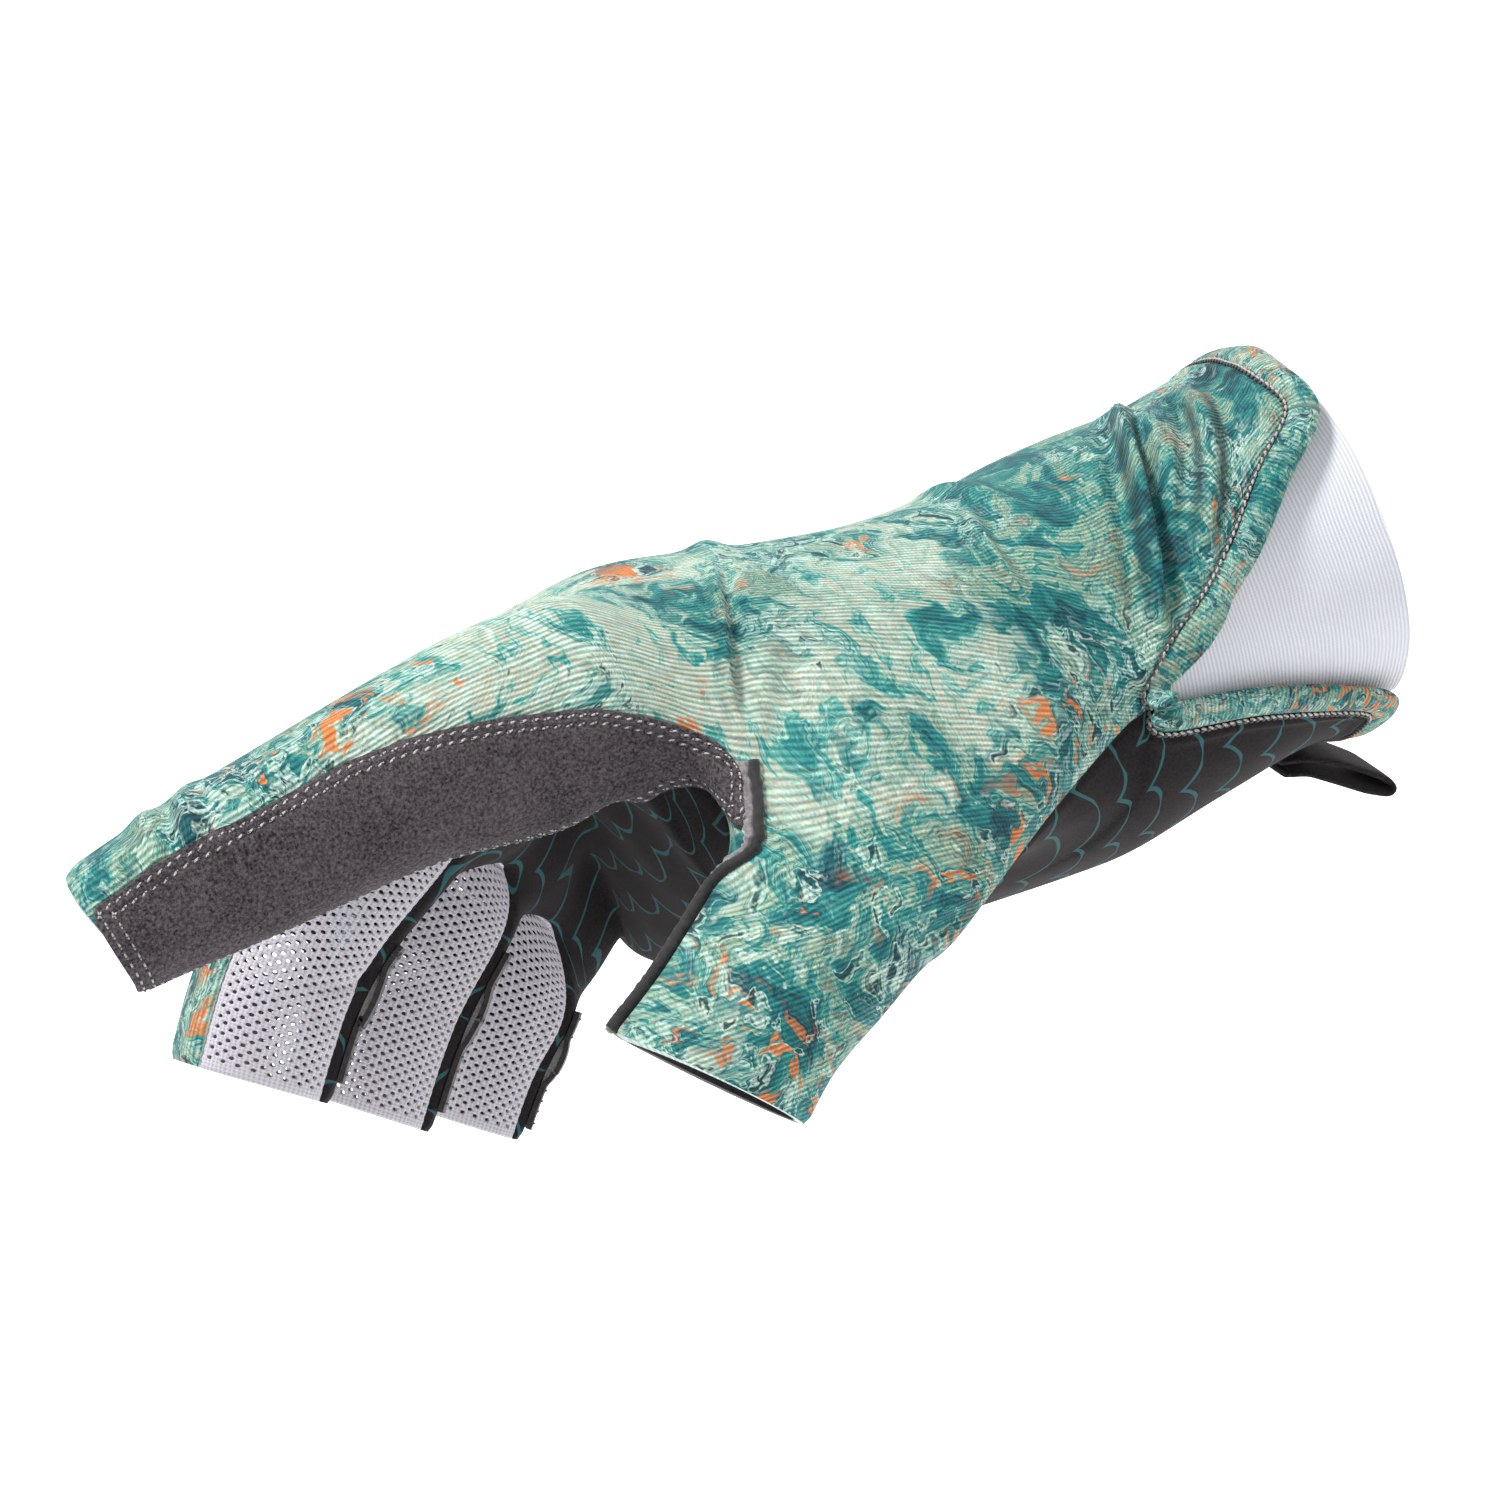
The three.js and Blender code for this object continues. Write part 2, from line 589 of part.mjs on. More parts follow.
function geometryOf(points, triangles) {
  const geometry = new THREE.BufferGeometry();
  const flat = points.flatMap((point) => [point.x, point.y, point.z]);
  geometry.setAttribute("position", new THREE.BufferAttribute(new Float32Array(flat), 3));
  geometry.setIndex(triangles.flat());
  geometry.computeVertexNormals();
  return geometry;
}

// A closed sheet between two grids of points, outer and inner, with rows of the same length.
function sheetBetween(outer, inner) {
  const rows = outer.length;
  const columns = outer[0].length;
  const points = [...outer.flat(), ...inner.flat()];
  const shell = rows * columns;
  const id = (i, k) => i * columns + k;
  const triangles = [];
  for (let i = 0; i < rows - 1; i += 1) {
    for (let k = 0; k < columns - 1; k += 1) {
      const [a, b, c, d] = [id(i, k), id(i, k + 1), id(i + 1, k + 1), id(i + 1, k)];
      triangles.push([a, b, c], [a, c, d]);
      triangles.push([shell + a, shell + c, shell + b], [shell + a, shell + d, shell + c]);
    }
  }
  const rim = [];
  for (let k = 0; k < columns - 1; k += 1) rim.push([id(0, k), id(0, k + 1)]);
  for (let i = 0; i < rows - 1; i += 1) rim.push([id(i, columns - 1), id(i + 1, columns - 1)]);
  for (let k = columns - 1; k > 0; k -= 1) rim.push([id(rows - 1, k), id(rows - 1, k - 1)]);
  for (let i = rows - 1; i > 0; i -= 1) rim.push([id(i, 0), id(i - 1, 0)]);
  rim.forEach(([a, b]) => triangles.push([b, a, shell + a], [b, shell + a, shell + b]));
  return geometryOf(points, triangles);
}

const net = fitted(buildNet());
const glove = finished(refine(net));
const GLOVE_TRIANGLES = glove.faces.flatMap(({ at }) => [[at[0], at[1], at[2]], [at[0], at[2], at[3]]]);

// Where a line from inside the glove meets its outside, with the outward normal there.
function surfaceHit(from, direction) {
  const ray = new THREE.Ray(from, direction.clone().normalize());
  let best = null;
  GLOVE_TRIANGLES.forEach((ids) => {
    const [a, b, c] = ids.map((i) => glove.points[i]);
    const point = ray.intersectTriangle(a, b, c, false, vector(0, 0, 0));
    if (!point) return;
    const far = point.distanceTo(from);
    if (best && best.far <= far) return;
    const weights = THREE.Triangle.getBarycoord(point, a, b, c, vector(0, 0, 0));
    const normal = vector(0, 0, 0);
    ids.forEach((i, k) => normal.addScaledVector(glove.normals[i], weights.getComponent(k)));
    best = { far, point, normal: normal.normalize() };
  });
  return best;
}

// A grid of surface hits as a sheet that floats on the glove: lift gives its underside's height at a
// share along and across.
function sheetOnGlove(hits, thickness, lift = () => 0) {
  const raised = (extra) => hits.map((row, i) => row.map(({ point, normal }, k) => {
    const height = LAID_GAP + lift(i / (hits.length - 1), k / (row.length - 1)) + extra;
    return point.clone().addScaledVector(normal, height);
  }));
  return [raised(thickness), raised(0)];
}

// Where rays from inside meet the glove over one line across the guard, and past its lower edge.
function guardHits(along, steps, past = 0) {
  const stations = namedRows(GUARD_STATIONS);
  const value = (name) => valueAt(stations, along, name);
  const from = placed(along, value("across"), value("up"));
  return Array.from({ length: steps + 1 }, (_, k) => {
    const turn = ((value("bottomEdge") - past - value("topEdge")) * k) / steps;
    const angle = radians(value("topEdge") + turn);
    return surfaceHit(from, vector(value("slant") * Math.sin(angle), -Math.cos(angle), Math.sin(angle)));
  });
}

// The suede guard that wraps the index finger's side, raised on the back panel.
function indexGuard() {
  const stations = namedRows(GUARD_STATIONS);
  const [first, last] = [stations[0].along, stations[stations.length - 1].along];
  const rows = Array.from({ length: GUARD_STEPS + 1 }, (_, i) =>
    guardHits(first + ((last - first) * i) / GUARD_STEPS, GUARD_ACROSS));
  return sheetBetween(...sheetOnGlove(rows, GUARD_CLOTH));
}

// A closed tube through rings of points. The rings join end to end where it is a loop.
function tubeThrough(rings, loop) {
  const sides = rings[0].length;
  const triangles = [];
  const last = loop ? rings.length : rings.length - 1;
  for (let i = 0; i < last; i += 1) {
    for (let k = 0; k < sides; k += 1) {
      const [a, b] = [i * sides + k, i * sides + ((k + 1) % sides)];
      const step = ((i + 1) % rings.length) * sides;
      const [c, d] = [step + ((k + 1) % sides), step + k];
      triangles.push([a, b, c], [a, c, d]);
    }
  }
  if (!loop) {
    const end = (rings.length - 1) * sides;
    for (let k = 1; k < sides - 1; k += 1) triangles.push([0, k + 1, k], [end, end + k, end + k + 1]);
  }
  return outwards(geometryOf(rings.flat(), triangles));
}

// Turns a closed mesh's faces outwards if they point in.
function outwards(geometry) {
  const place = geometry.getAttribute("position");
  const index = geometry.index.array;
  const at = (i) => vector(place.getX(i), place.getY(i), place.getZ(i));
  let volume = 0;
  for (let t = 0; t < index.length; t += 3) {
    volume += at(index[t]).dot(at(index[t + 1]).cross(at(index[t + 2])));
  }
  if (volume > 0) return geometry;
  const turned = [];
  for (let t = 0; t < index.length; t += 3) turned.push(index[t], index[t + 2], index[t + 1]);
  geometry.setIndex(turned);
  geometry.computeVertexNormals();
  return geometry;
}

// The rolled print hem round the cuff's rim and its notch.
function cuffBinding() {
  const start = glove.rows[0][0];
  const loop = [start];
  let [before, here] = [start, glove.around[start].rim[0]];
  while (here !== start) {
    loop.push(here);
    const next = glove.around[here].rim.find((i) => i !== before);
    [before, here] = [here, next];
  }
  const rings = loop.map((i) => {
    const point = glove.points[i];
    const normal = glove.normals[i];
    const middle = average(glove.around[i].faces.map(({ across }) => glove.points[across]));
    const [one, other] = glove.around[i].rim.map((j) => glove.points[j]);
    const along = other.clone().sub(one).normalize();
    const out = point.clone().sub(middle);
    out.addScaledVector(along, -out.dot(along)).addScaledVector(normal, -out.dot(normal)).normalize();
    const centre = point.clone()
      .addScaledVector(out, HEM_WIDTH / 2 + SEAM_GAP)
      .addScaledVector(normal, -CLOTH / 2);
    return Array.from({ length: HEM_SIDES }, (_, k) => {
      const turn = ((k + 0.5) / HEM_SIDES) * 2 * Math.PI;
      return centre.clone()
        .addScaledVector(out, (Math.cos(turn) * HEM_WIDTH) / 2)
        .addScaledVector(normal, (Math.sin(turn) * HEM_THICKNESS) / 2);
    });
  });
  return tubeThrough(rings, true);
}

// The white ribbed gusset that bridges the notch under the hem.
function wristGusset() {
  const outerInset = CLOTH / 2 + HEM_THICKNESS / 2 + 2 * SEAM_GAP;
  const first = -HEM_END_X / GLOVE_LENGTH;
  const last = HAND_SECTIONS[NOTCH_ROWS + 1][0] - GUSSET_TUCK / GLOVE_LENGTH;
  const grid = (inset) => Array.from({ length: GUSSET_STEPS + 1 }, (_, i) => {
    const along = first + ((last - first) * i) / GUSSET_STEPS;
    const section = sectionAt(along);
    const upper = angleAt(section, section.upper) + GUSSET_OVERLAP;
    const lower = angleAt(section, section.lower) - GUSSET_OVERLAP;
    return Array.from({ length: GUSSET_STEPS + 1 }, (_, k) => {
      const share = k / GUSSET_STEPS;
      const swell = GUSSET_SWELL * Math.sin(Math.PI * share) ** 2 * (1 - i / GUSSET_STEPS);
      return sectionPoint(section, upper + (lower - upper) * share, inset - swell);
    });
  });
  return outwards(sheetBetween(grid(outerInset), grid(outerInset + GUSSET_CLOTH)));
}

// The dark welt down the thumb's front seam, from the guard's corner to the cut end.
function thumbWelt() {
  const stations = namedRows(GUARD_STATIONS);
  const beside = stations[stations.length - 1].along - (WELT_WIDTH / 2 + SEAM_GAP) / GLOVE_LENGTH;
  const start = guardHits(beside, WELT_STEPS, WELT_PAST);
  const seam = glove.frontSeam.slice(2).map((i) => ({ point: glove.points[i], normal: glove.normals[i] }));
  const base = namedRows(THUMB_STATIONS)[0];
  const middle = (name) => (base[`front${name}`] + base[`back${name}`]) / 2;
  const inside = placed(middle("Along"), base.across, middle("Up"));
  const corner = start[WELT_STEPS].point;
  const round = [1 / 4, 1 / 2, 3 / 4].map((share) =>
    surfaceHit(inside, corner.clone().lerp(seam[0].point, share).sub(inside)));
  const path = [...start, ...round, ...seam];
  const rings = path.map(({ point, normal }, i) => {
    const ahead = path[Math.min(i + 1, path.length - 1)].point.clone()
      .sub(path[Math.max(i - 1, 0)].point).normalize();
    const side = normal.clone().cross(ahead).normalize();
    const corners = [[-0.5, 0], [-0.3, 1], [0.3, 1], [0.5, 0]];
    return corners.map(([across, rise]) => point.clone()
      .addScaledVector(side, across * WELT_WIDTH)
      .addScaledVector(normal, LAID_GAP + rise * WELT_HEIGHT));
  });
  return tubeThrough(rings, false);
}

// A ribbon on the palm side of a finger's end, sewn flat at both ends and arched between.
function fingerPull(name) {
  const rows = namedRows([FINGER_COLUMNS, ...FINGERS[name]]).slice(KNUCKLE_ROWS - 1);
  const [first, last] = PULLS[name];
  const hits = Array.from({ length: PULL_STEPS + 1 }, (_, i) => {
    const place = (first + ((last - first) * i) / PULL_STEPS) * (rows.length - 1);
    const k = Math.min(Math.floor(place), rows.length - 2);
    const [low, high] = [rows[k], rows[k + 1]].map((row) => placed(row.along, row.across, row.up));
    const from = low.clone().lerp(high, place - k);
    const ahead = high.clone().sub(low).normalize();
    const right = vector(0, 1, 0).addScaledVector(ahead, -ahead.y).normalize();
    const up = right.clone().cross(ahead).normalize();
    return Array.from({ length: PULL_ACROSS + 1 }, (_, j) => {
      const angle = radians(PULL_EDGES[0] + ((PULL_EDGES[1] - PULL_EDGES[0]) * j) / PULL_ACROSS);
      const aside = right.clone().multiplyScalar(-Math.cos(angle));
      return surfaceHit(from, aside.addScaledVector(up, Math.sin(angle)));
    });
  });
  const arch = (along) => PULL_RISE * Math.sin(Math.PI * along) ** 2;
  return outwards(sheetBetween(...sheetOnGlove(hits, PULL_CLOTH, arch)));
}

// The folded suede tab that pulls the cuff on, behind the palm's rim.
function wristPullTab() {
  const seat = sectionPoint(namedRows(HAND_SECTIONS)[TAB_ROW], TAB_ANGLE);
  const below = (HEM_THICKNESS - CLOTH + TAB_CLOTH) / 2 + SEAM_GAP;
  const root = seat.clone().add(vector(0, 0, -below));
  const path = TAB_PATH.map(([out, down]) =>
    root.clone().add(vector(out * TAB_REACH, 0, -down * TAB_REACH)));
  const rings = path.map((point, i) => {
    const ahead = path[Math.min(i + 1, path.length - 1)].clone().sub(path[Math.max(i - 1, 0)]).normalize();
    const across = vector(0, Math.cos(radians(TAB_ROLL)), Math.sin(radians(TAB_ROLL)));
    const face = across.clone().cross(ahead).normalize();
    const corners = [[-0.5, -0.5], [0.5, -0.5], [0.5, 0.5], [-0.5, 0.5]];
    return corners.map(([wide, thick]) => point.clone()
      .addScaledVector(across, wide * TAB_WIDTH)
      .addScaledVector(face, thick * TAB_CLOTH));
  });
  return tubeThrough(rings, false);
}

const material = (color, roughness) => new THREE.MeshStandardMaterial({ color, roughness, metalness: 0 });
const printed = material(0x2a938e, 0.75);
const suede = material(0x39343a, 0.9);
const mesh = material(0xe4e2e8, 0.8);
const ribbed = material(0xdfe0e6, 0.8);
const piping = material(0x1d1b1c, 0.85);
const ribbon = material(0x3b3d42, 0.45);

const group = new THREE.Group();
function addPiece(name, geometry, finish) {
  const piece = new THREE.Mesh(geometry, finish);
  piece.name = name;
  group.add(piece);
}

addPiece("back_panel", panelWall(glove, "back_panel", CLOTH, SEAM_GAP / 2), printed);
addPiece("palm_panel", panelWall(glove, "palm_panel", CLOTH, SEAM_GAP / 2), suede);
FOURCHETTES.forEach((name) => addPiece(name, panelWall(glove, name, CLOTH, SEAM_GAP), mesh));
addPiece("index_guard", outwards(indexGuard()), suede);
addPiece("thumb_welt", thumbWelt(), piping);
addPiece("cuff_binding", cuffBinding(), printed);
addPiece("wrist_gusset", wristGusset(), ribbed);
Object.keys(PULLS).forEach((finger) => addPiece(`finger_pull_${finger}`, fingerPull(finger), ribbon));
addPiece("wrist_pull_tab", wristPullTab(), suede);

export default group;
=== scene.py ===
"""Fingerless fishing glove as worn on a right hand: printed knit, suede palm, mesh finger sides."""

import math

import bpy
import numpy as np
from mathutils import Matrix, Vector
from mathutils.bvhtree import BVHTree


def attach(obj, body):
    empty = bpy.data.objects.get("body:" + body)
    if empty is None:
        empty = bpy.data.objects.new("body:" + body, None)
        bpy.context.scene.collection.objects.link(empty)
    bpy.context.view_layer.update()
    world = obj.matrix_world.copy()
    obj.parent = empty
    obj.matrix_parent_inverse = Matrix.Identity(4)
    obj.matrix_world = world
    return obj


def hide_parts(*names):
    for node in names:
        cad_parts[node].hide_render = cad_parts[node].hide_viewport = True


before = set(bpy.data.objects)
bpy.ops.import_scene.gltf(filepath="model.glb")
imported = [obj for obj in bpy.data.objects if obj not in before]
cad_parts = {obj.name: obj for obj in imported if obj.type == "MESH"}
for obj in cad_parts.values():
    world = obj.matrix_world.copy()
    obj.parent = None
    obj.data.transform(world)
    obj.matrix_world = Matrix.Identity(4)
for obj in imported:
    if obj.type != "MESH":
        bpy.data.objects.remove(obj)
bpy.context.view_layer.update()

MM = 0.001

# The glove's own sizes in millimetres, as its solids have them
GLOVE_LENGTH = 183.0
PALM_WIDTH = 86.0
HAND_HEIGHT = 56.0
FINGER_HEIGHT = 20.0
FINGER_WIDTH = 19.0
THUMB_WIDTH = 25.0
CLOTH = 1.2
HEM_WIDTH = 4.4
HEM_THICKNESS = 2.8
HEM_END_X = -4.5
GUSSET_OVERLAP = 7
GUSSET_SWELL = 1.2
GUSSET_TUCK = 1.5
ROUNDNESS = 2.3
CORNER_ACROSS = 0.74
CORNER_UP = 0.8
SIDES = 20
THUMB_SIDE = 19
LITTLE_SIDE = 9
NOTCH_ROWS = 4
THUMB_ROWS = (5, 9)
THUMB_RING = 12
LEVELS = 4

# Where along the glove the sections' columns begin to bunch, and over what stretch, as shares of length
BUNCHING_FROM = 0.2
BUNCHING_OVER = 0.32

# Columns of a net point after x, y and z: across and along the back's cloth, then the palm's
BACK_ACROSS, BACK_ALONG, PALM_ACROSS, PALM_ALONG = 3, 4, 5, 6

# How often and how far the net is moved to bring the smooth surface to the tables' places
FIT_ROUNDS = 6
FIT_SHARE = 0.9

# Sections of the hand: places and half sizes are shares of length, width and height
SECTION_NAMES = "along middle half lift back front frontLittle drop upper seam lower".split()
HAND_SECTIONS = [
    [0.057, 0, 0.36, 0, 0.485, 0.46, 0.47, 0, 0.34, 0, -0.405],
    [0.092, 0, 0.362, 0, 0.465, 0.455, 0.465, 0, 0.255, 0, -0.36],
    [0.133, 0, 0.368, -0.01, 0.46, 0.46, 0.475, 0.01, 0.135, 0, -0.32],
    [0.178, 0, 0.38, -0.018, 0.475, 0.47, 0.49, 0.035, 0.02, 0, -0.285],
    [0.238, 0, 0.4, -0.027, 0.485, 0.49, 0.51, 0.07, -0.125, -0.185, -0.245],
    [0.28, 0.005, 0.424, -0.027, 0.485, 0.485, 0.49, 0.125, -0.08, -0.235, -0.36],
    [0.34, 0.005, 0.453, -0.018, 0.485, 0.475, 0.465, 0.18, 0, -0.22, -0.43],
    [0.41, 0.005, 0.477, 0.018, 0.485, 0.465, 0.45, 0.25, 0.08, -0.2, -0.4],
    [0.486, 0, 0.488, 0.08, 0.475, 0.42, 0.45, 0.3, 0.13, -0.12, -0.29],
    [0.563, -0.005, 0.494, 0.16, 0.45, 0.38, 0.44, 0.355, 0.11, -0.05, -0.17],
]

# Sections of each finger: its middle as shares of length, width and height, then its own height and width
FINGER_NAMES = "along across up tall wide".split()
FINGERS = {
    "index": [
        [0.612, -0.365, 0.282, 1.42, 1.14],
        [0.661, -0.365, 0.285, 1.38, 1.14],
        [0.716, -0.368, 0.278, 1.27, 1.13],
        [0.78, -0.372, 0.262, 1.12, 1.08],
        [0.84, -0.38, 0.238, 1.05, 1.03],
        [0.9, -0.387, 0.213, 0.98, 0.97],
        [0.944, -0.392, 0.192, 0.9, 0.94],
        [0.981, -0.395, 0.172, 0.84, 0.92],
    ],
    "middle": [
        [0.612, -0.12, 0.257, 1.44, 1.12],
        [0.661, -0.118, 0.24, 1.38, 1.12],
        [0.714, -0.118, 0.205, 1.28, 1.1],
        [0.766, -0.114, 0.13, 1.16, 1.06],
        [0.822, -0.112, 0.01, 1.1, 1.02],
        [0.868, -0.11, -0.13, 1.07, 1],
        [0.908, -0.108, -0.31, 1.05, 0.98],
    ],
    "ring": [
        [0.596, 0.12, 0.125, 1.36, 1.08],
        [0.633, 0.121, 0.085, 1.28, 1.06],
        [0.67, 0.121, 0.022, 1.19, 1.03],
        [0.716, 0.122, -0.09, 1.1, 0.98],
        [0.77, 0.124, -0.265, 1.04, 0.95],
        [0.826, 0.126, -0.5, 1.01, 0.93],
    ],
    "little": [
        [0.584, 0.352, -0.15, 1.26, 0.98],
        [0.613, 0.356, -0.21, 1.17, 0.97],
        [0.641, 0.361, -0.29, 1.08, 0.95],
        [0.67, 0.367, -0.385, 1, 0.92],
        [0.703, 0.374, -0.51, 0.93, 0.89],
        [0.738, 0.38, -0.66, 0.88, 0.86],
    ],
}
KNUCKLE_LEANS = [[0, 0, 0], [0, 0, 6], [0, 8, 18], [8, 18, 30]]
INDEX_SKEWS = [0, 0, 0, 0, 0.04, 0.12, 0.22, 0.32]
INDEX_RAKES = [0, 0, 0, 0, 0, 0.05, 0.12, 0.22]

# Sections of the thumb, each between a point at its front and one at its back
THUMB_NAMES = "frontAlong frontUp backAlong backUp across thick".split()
THUMB_STATIONS = [
    [0.588, -0.17, 0.425, -0.455, -0.505, 1.04],
    [0.618, -0.245, 0.475, -0.52, -0.53, 1.02],
    [0.649, -0.31, 0.52, -0.59, -0.555, 0.99],
    [0.676, -0.362, 0.563, -0.66, -0.57, 0.95],
    [0.7, -0.405, 0.597, -0.752, -0.58, 0.92],
]

# Stations of the guard: a middle inside the finger, and the angles of the guard's two edges round it
GUARD_NAMES = "along across up topEdge bottomEdge slant".split()
GUARD_STATIONS = [
    [0.98, -0.395, 0.172, 27, -78, -0.35],
    [0.93, -0.39, 0.2, 27, -80, -0.13],
    [0.87, -0.385, 0.226, 26, -80, -0.1],
    [0.8, -0.375, 0.255, 26, -80, -0.05],
    [0.76, -0.37, 0.268, 22, -78, 0],
    [0.7, -0.35, 0.28, 10, -74, 0],
    [0.63, -0.33, 0.278, -3, -66, 0.08],
    [0.562, -0.3, 0.26, -22, -47, 0.22],
    [0.524, -0.28, 0.25, -30, -39, 0.35],
]

# Numbers of the index finger's columns, and their angles at the three knuckle rows
INDEX_COLUMNS = dict(backEdge=0, backMiddle=1, palmMiddle=17, palmEdge=18, seam=19)
INDEX_TURNS = [
    dict(backEdge=4, backMiddle=62, palmMiddle=-80, palmEdge=-48, seam=-22),
    dict(backEdge=22, backMiddle=76, palmMiddle=-84, palmEdge=-50, seam=-12),
    dict(backEdge=40, backMiddle=88, palmMiddle=-90, palmEdge=-52, seam=-5),
]
KNUCKLE_ANGLES = [24, 47, 67, 80, 91, 101, 114, 130, 155]

# Where each pull begins and ends, as shares of its finger's free part, and the angles of its two edges
PULLS = {"middle": (0.46, 0.94), "ring": (0.42, 0.94), "little": (0.34, 0.94)}
PULL_EDGES = (-60, -118)

# The wrist tab's fold from the side: outwards and downwards as shares of its reach
TAB_REACH = 14.5
TAB_WIDTH = 14.0
TAB_CLOTH = 1.1
TAB_SIDES = 28
TAB_ROLL = 18
TAB_ANGLE = -108
SEAM_GAP = 0.3
TAB_PATH = [
    (0, -0.052), (0.26, 0.01), (0.56, 0.16), (0.8, 0.34), (0.97, 0.48), (1.01, 0.57),
    (0.93, 0.61), (0.72, 0.5), (0.46, 0.31), (0.22, 0.14), (0, 0.07),
]

# Large folds of the worn cloth, which the solids have too: three points as shares of length, width and
# height, then height and half breadth as shares of the cloth's thickness
FOLDS = [
    [(0.152, -0.09, 0.49), (0.156, -0.3, 0.25), (0.19, -0.37, -0.05), 1.9, 2.6],
    [(0.077, -0.1, 0.44), (0.084, -0.2, 0.36), (0.09, -0.26, 0.27), -1.0, 2.6],
    [(0.305, -0.1, 0.45), (0.284, -0.24, 0.36), (0.262, -0.33, 0.2), 1.3, 2.1],
    [(0.482, -0.17, 0.5), (0.503, -0.38, 0.32), (0.53, -0.49, 0.09), 1.1, 2.1],
    [(0.9, -0.3, 0.34), (0.9, -0.42, 0.38), (0.905, -0.48, 0.28), 0.8, 1.7],
    [(0.935, -0.3, 0.32), (0.935, -0.42, 0.36), (0.94, -0.48, 0.27), 0.8, 1.5],
]

# Finer ridges and dents, laid on the surface: three points in millimetres, then height and half breadth.
# Most points were picked as pixels on the photograph and turned into millimetres by a separate script.
FINE_FOLDS = [
    [(-28.2, -10.5, 26.1), (-34.9, -28.7, 14.2), (-40.2, -33.7, -2.5), 3.0, 1.05],
    [(-26.0, -9.5, 25.5), (-33.0, -29.2, 13.6), (-37.5, -33.8, -2.2), -2.2, 0.9],
    [(-30.6, -9.3, 25.4), (-38.3, -29.6, 13.3), (-42.9, -34.0, -2.9), -1.2, 1.2],
    [(-17.6, -8.8, 24.9), (-22.4, -24.3, 17.6), (-31.3, -32.7, 5.3), 1.9, 1.3],
    [(-19.2, -7.5, 25.0), (-26.5, -26.1, 17.6), (-34.0, -32.4, 6.3), -1.5, 1.2],
    [(-15.4, -13.3, 23.8), (-19.0, -23.9, 17.8), (-24.7, -29.2, 11.3), -0.9, 1.2],
    [(-22.8, -8.3, 24.8), (-29.8, -28.0, 15.9), (-33.8, -32.5, 6.2), 0.45, 1.4],
    [(-49.8, -35.2, -5.9), (-44.9, -34.1, -5.2), (-40.6, -33.8, -3.7), 0.7, 1.2],
    [(-58.8, -39.8, -8.8), (-53.0, -36.4, -7.8), (-47.6, -34.3, -6.7), -0.5, 1.6],
    [(-89.9, -23.2, 26.5), (-96.3, -39.2, 17.1), (-99.0, -43.8, 5.5), 1.2, 0.8],
    [(-88.6, -23.7, 26.0), (-94.6, -39.2, 16.5), (-97.4, -44.1, 5.6), -1.2, 0.9],
    [(-87.8, -35.6, 19.5), (-91.8, -40.4, 12.9), (-96.2, -44.2, 5.2), 0.4, 1.3],
    [(-86.7, -39.1, 13.8), (-92.1, -42.5, 7.7), (-97.3, -45.6, 1.6), -0.4, 1.4],
    [(-55.6, -20.9, 21.6), (-56.9, -31.1, 15.3), (-55.7, -34.9, 8.6), 0.8, 0.9],
    [(-53.9, -21.4, 21.7), (-54.8, -30.5, 15.5), (-53.5, -34.6, 8.9), -0.5, 1.1],
    [(-71.8, -45.1, -20.8), (-78.0, -50.3, -19.8), (-84.8, -53.7, -18.6), -0.4, 1.5],
    [(-91.6, -51.5, -30.0), (-95.8, -56.2, -28.2), (-99.5, -58.1, -27.4), -0.4, 1.2],
    [(-169.0, -33.6, 21.6), (-169.9, -40.9, 18.5), (-171.7, -42.6, 14.2), -0.9, 0.8],
    [(-166.8, -34.2, 21.8), (-167.4, -40.9, 18.9), (-168.8, -42.6, 14.9), 0.9, 0.9],
    [(-163.8, -33.4, 22.3), (-164.7, -40.6, 19.5), (-166.2, -42.7, 15.6), -0.7, 0.9],
    [(-160.3, -36.0, 22.5), (-161.2, -40.4, 19.9), (-162.7, -42.3, 16.5), 0.35, 1.0],
    [(-150.2, -37.3, 23.7), (-145.5, -39.4, 23.4), (-139.4, -40.4, 22.5), 0.3, 1.3],
    [(-157.6, -18.9, -7.0), (-151.9, -17.8, -9.1), (-147.9, -15.5, -9.4), -0.5, 1.0],
    [(-165.2, -17.9, -6.3), (-159.4, -18.5, -12.4), (-154.6, -16.1, -15.7), 0.3, 2.0],
    [(-138.3, 1.6, -11.5), (-137.4, 2.1, -17.4), (-136.5, 3.9, -22.0), -0.4, 1.2],
    [(-117.2, 24.0, -23.6), (-120.8, 23.9, -27.3), (-124.4, 24.7, -31.8), -0.3, 1.2],
    [(-79.0, -50.5, -21.5), (-82.5, -53.0, -22.0), (-88.0, -56.0, -22.5), 0.7, 1.1],
    [(-80.5, -50.0, -24.5), (-85.0, -54.0, -24.5), (-90.0, -56.5, -24.5), -0.7, 1.0],
    [(-86.0, -52.0, -26.5), (-90.0, -55.0, -26.0), (-95.0, -57.5, -25.5), 0.5, 1.1],
    [(-172.5, -35.0, 20.5), (-172.8, -40.5, 17.5), (-174.0, -42.0, 13.5), 0.6, 0.8],
]

# A fine fold's form: how far it is felt, how many of its path's points it dies out over and how fast,
# and the power of its cross-section
FOLD_REACH = 40
FOLD_POINTS = 33
FADE_POINTS = 9
FADE_POWER = 0.7
FOLD_POWER = 2.6

# The shade that is drawn on both sides of a ridge: the lowest ridge that has one, its place and breadth
# in half breadths of the ridge, and the height from which it is whole, with its limit above that
SHADED_HEIGHT = 0.7
SHADE_PLACE = 1.25
SHADE_BREADTH = 0.45
SHADE_WHOLE = 1.6
SHADE_LIMIT = 1.2

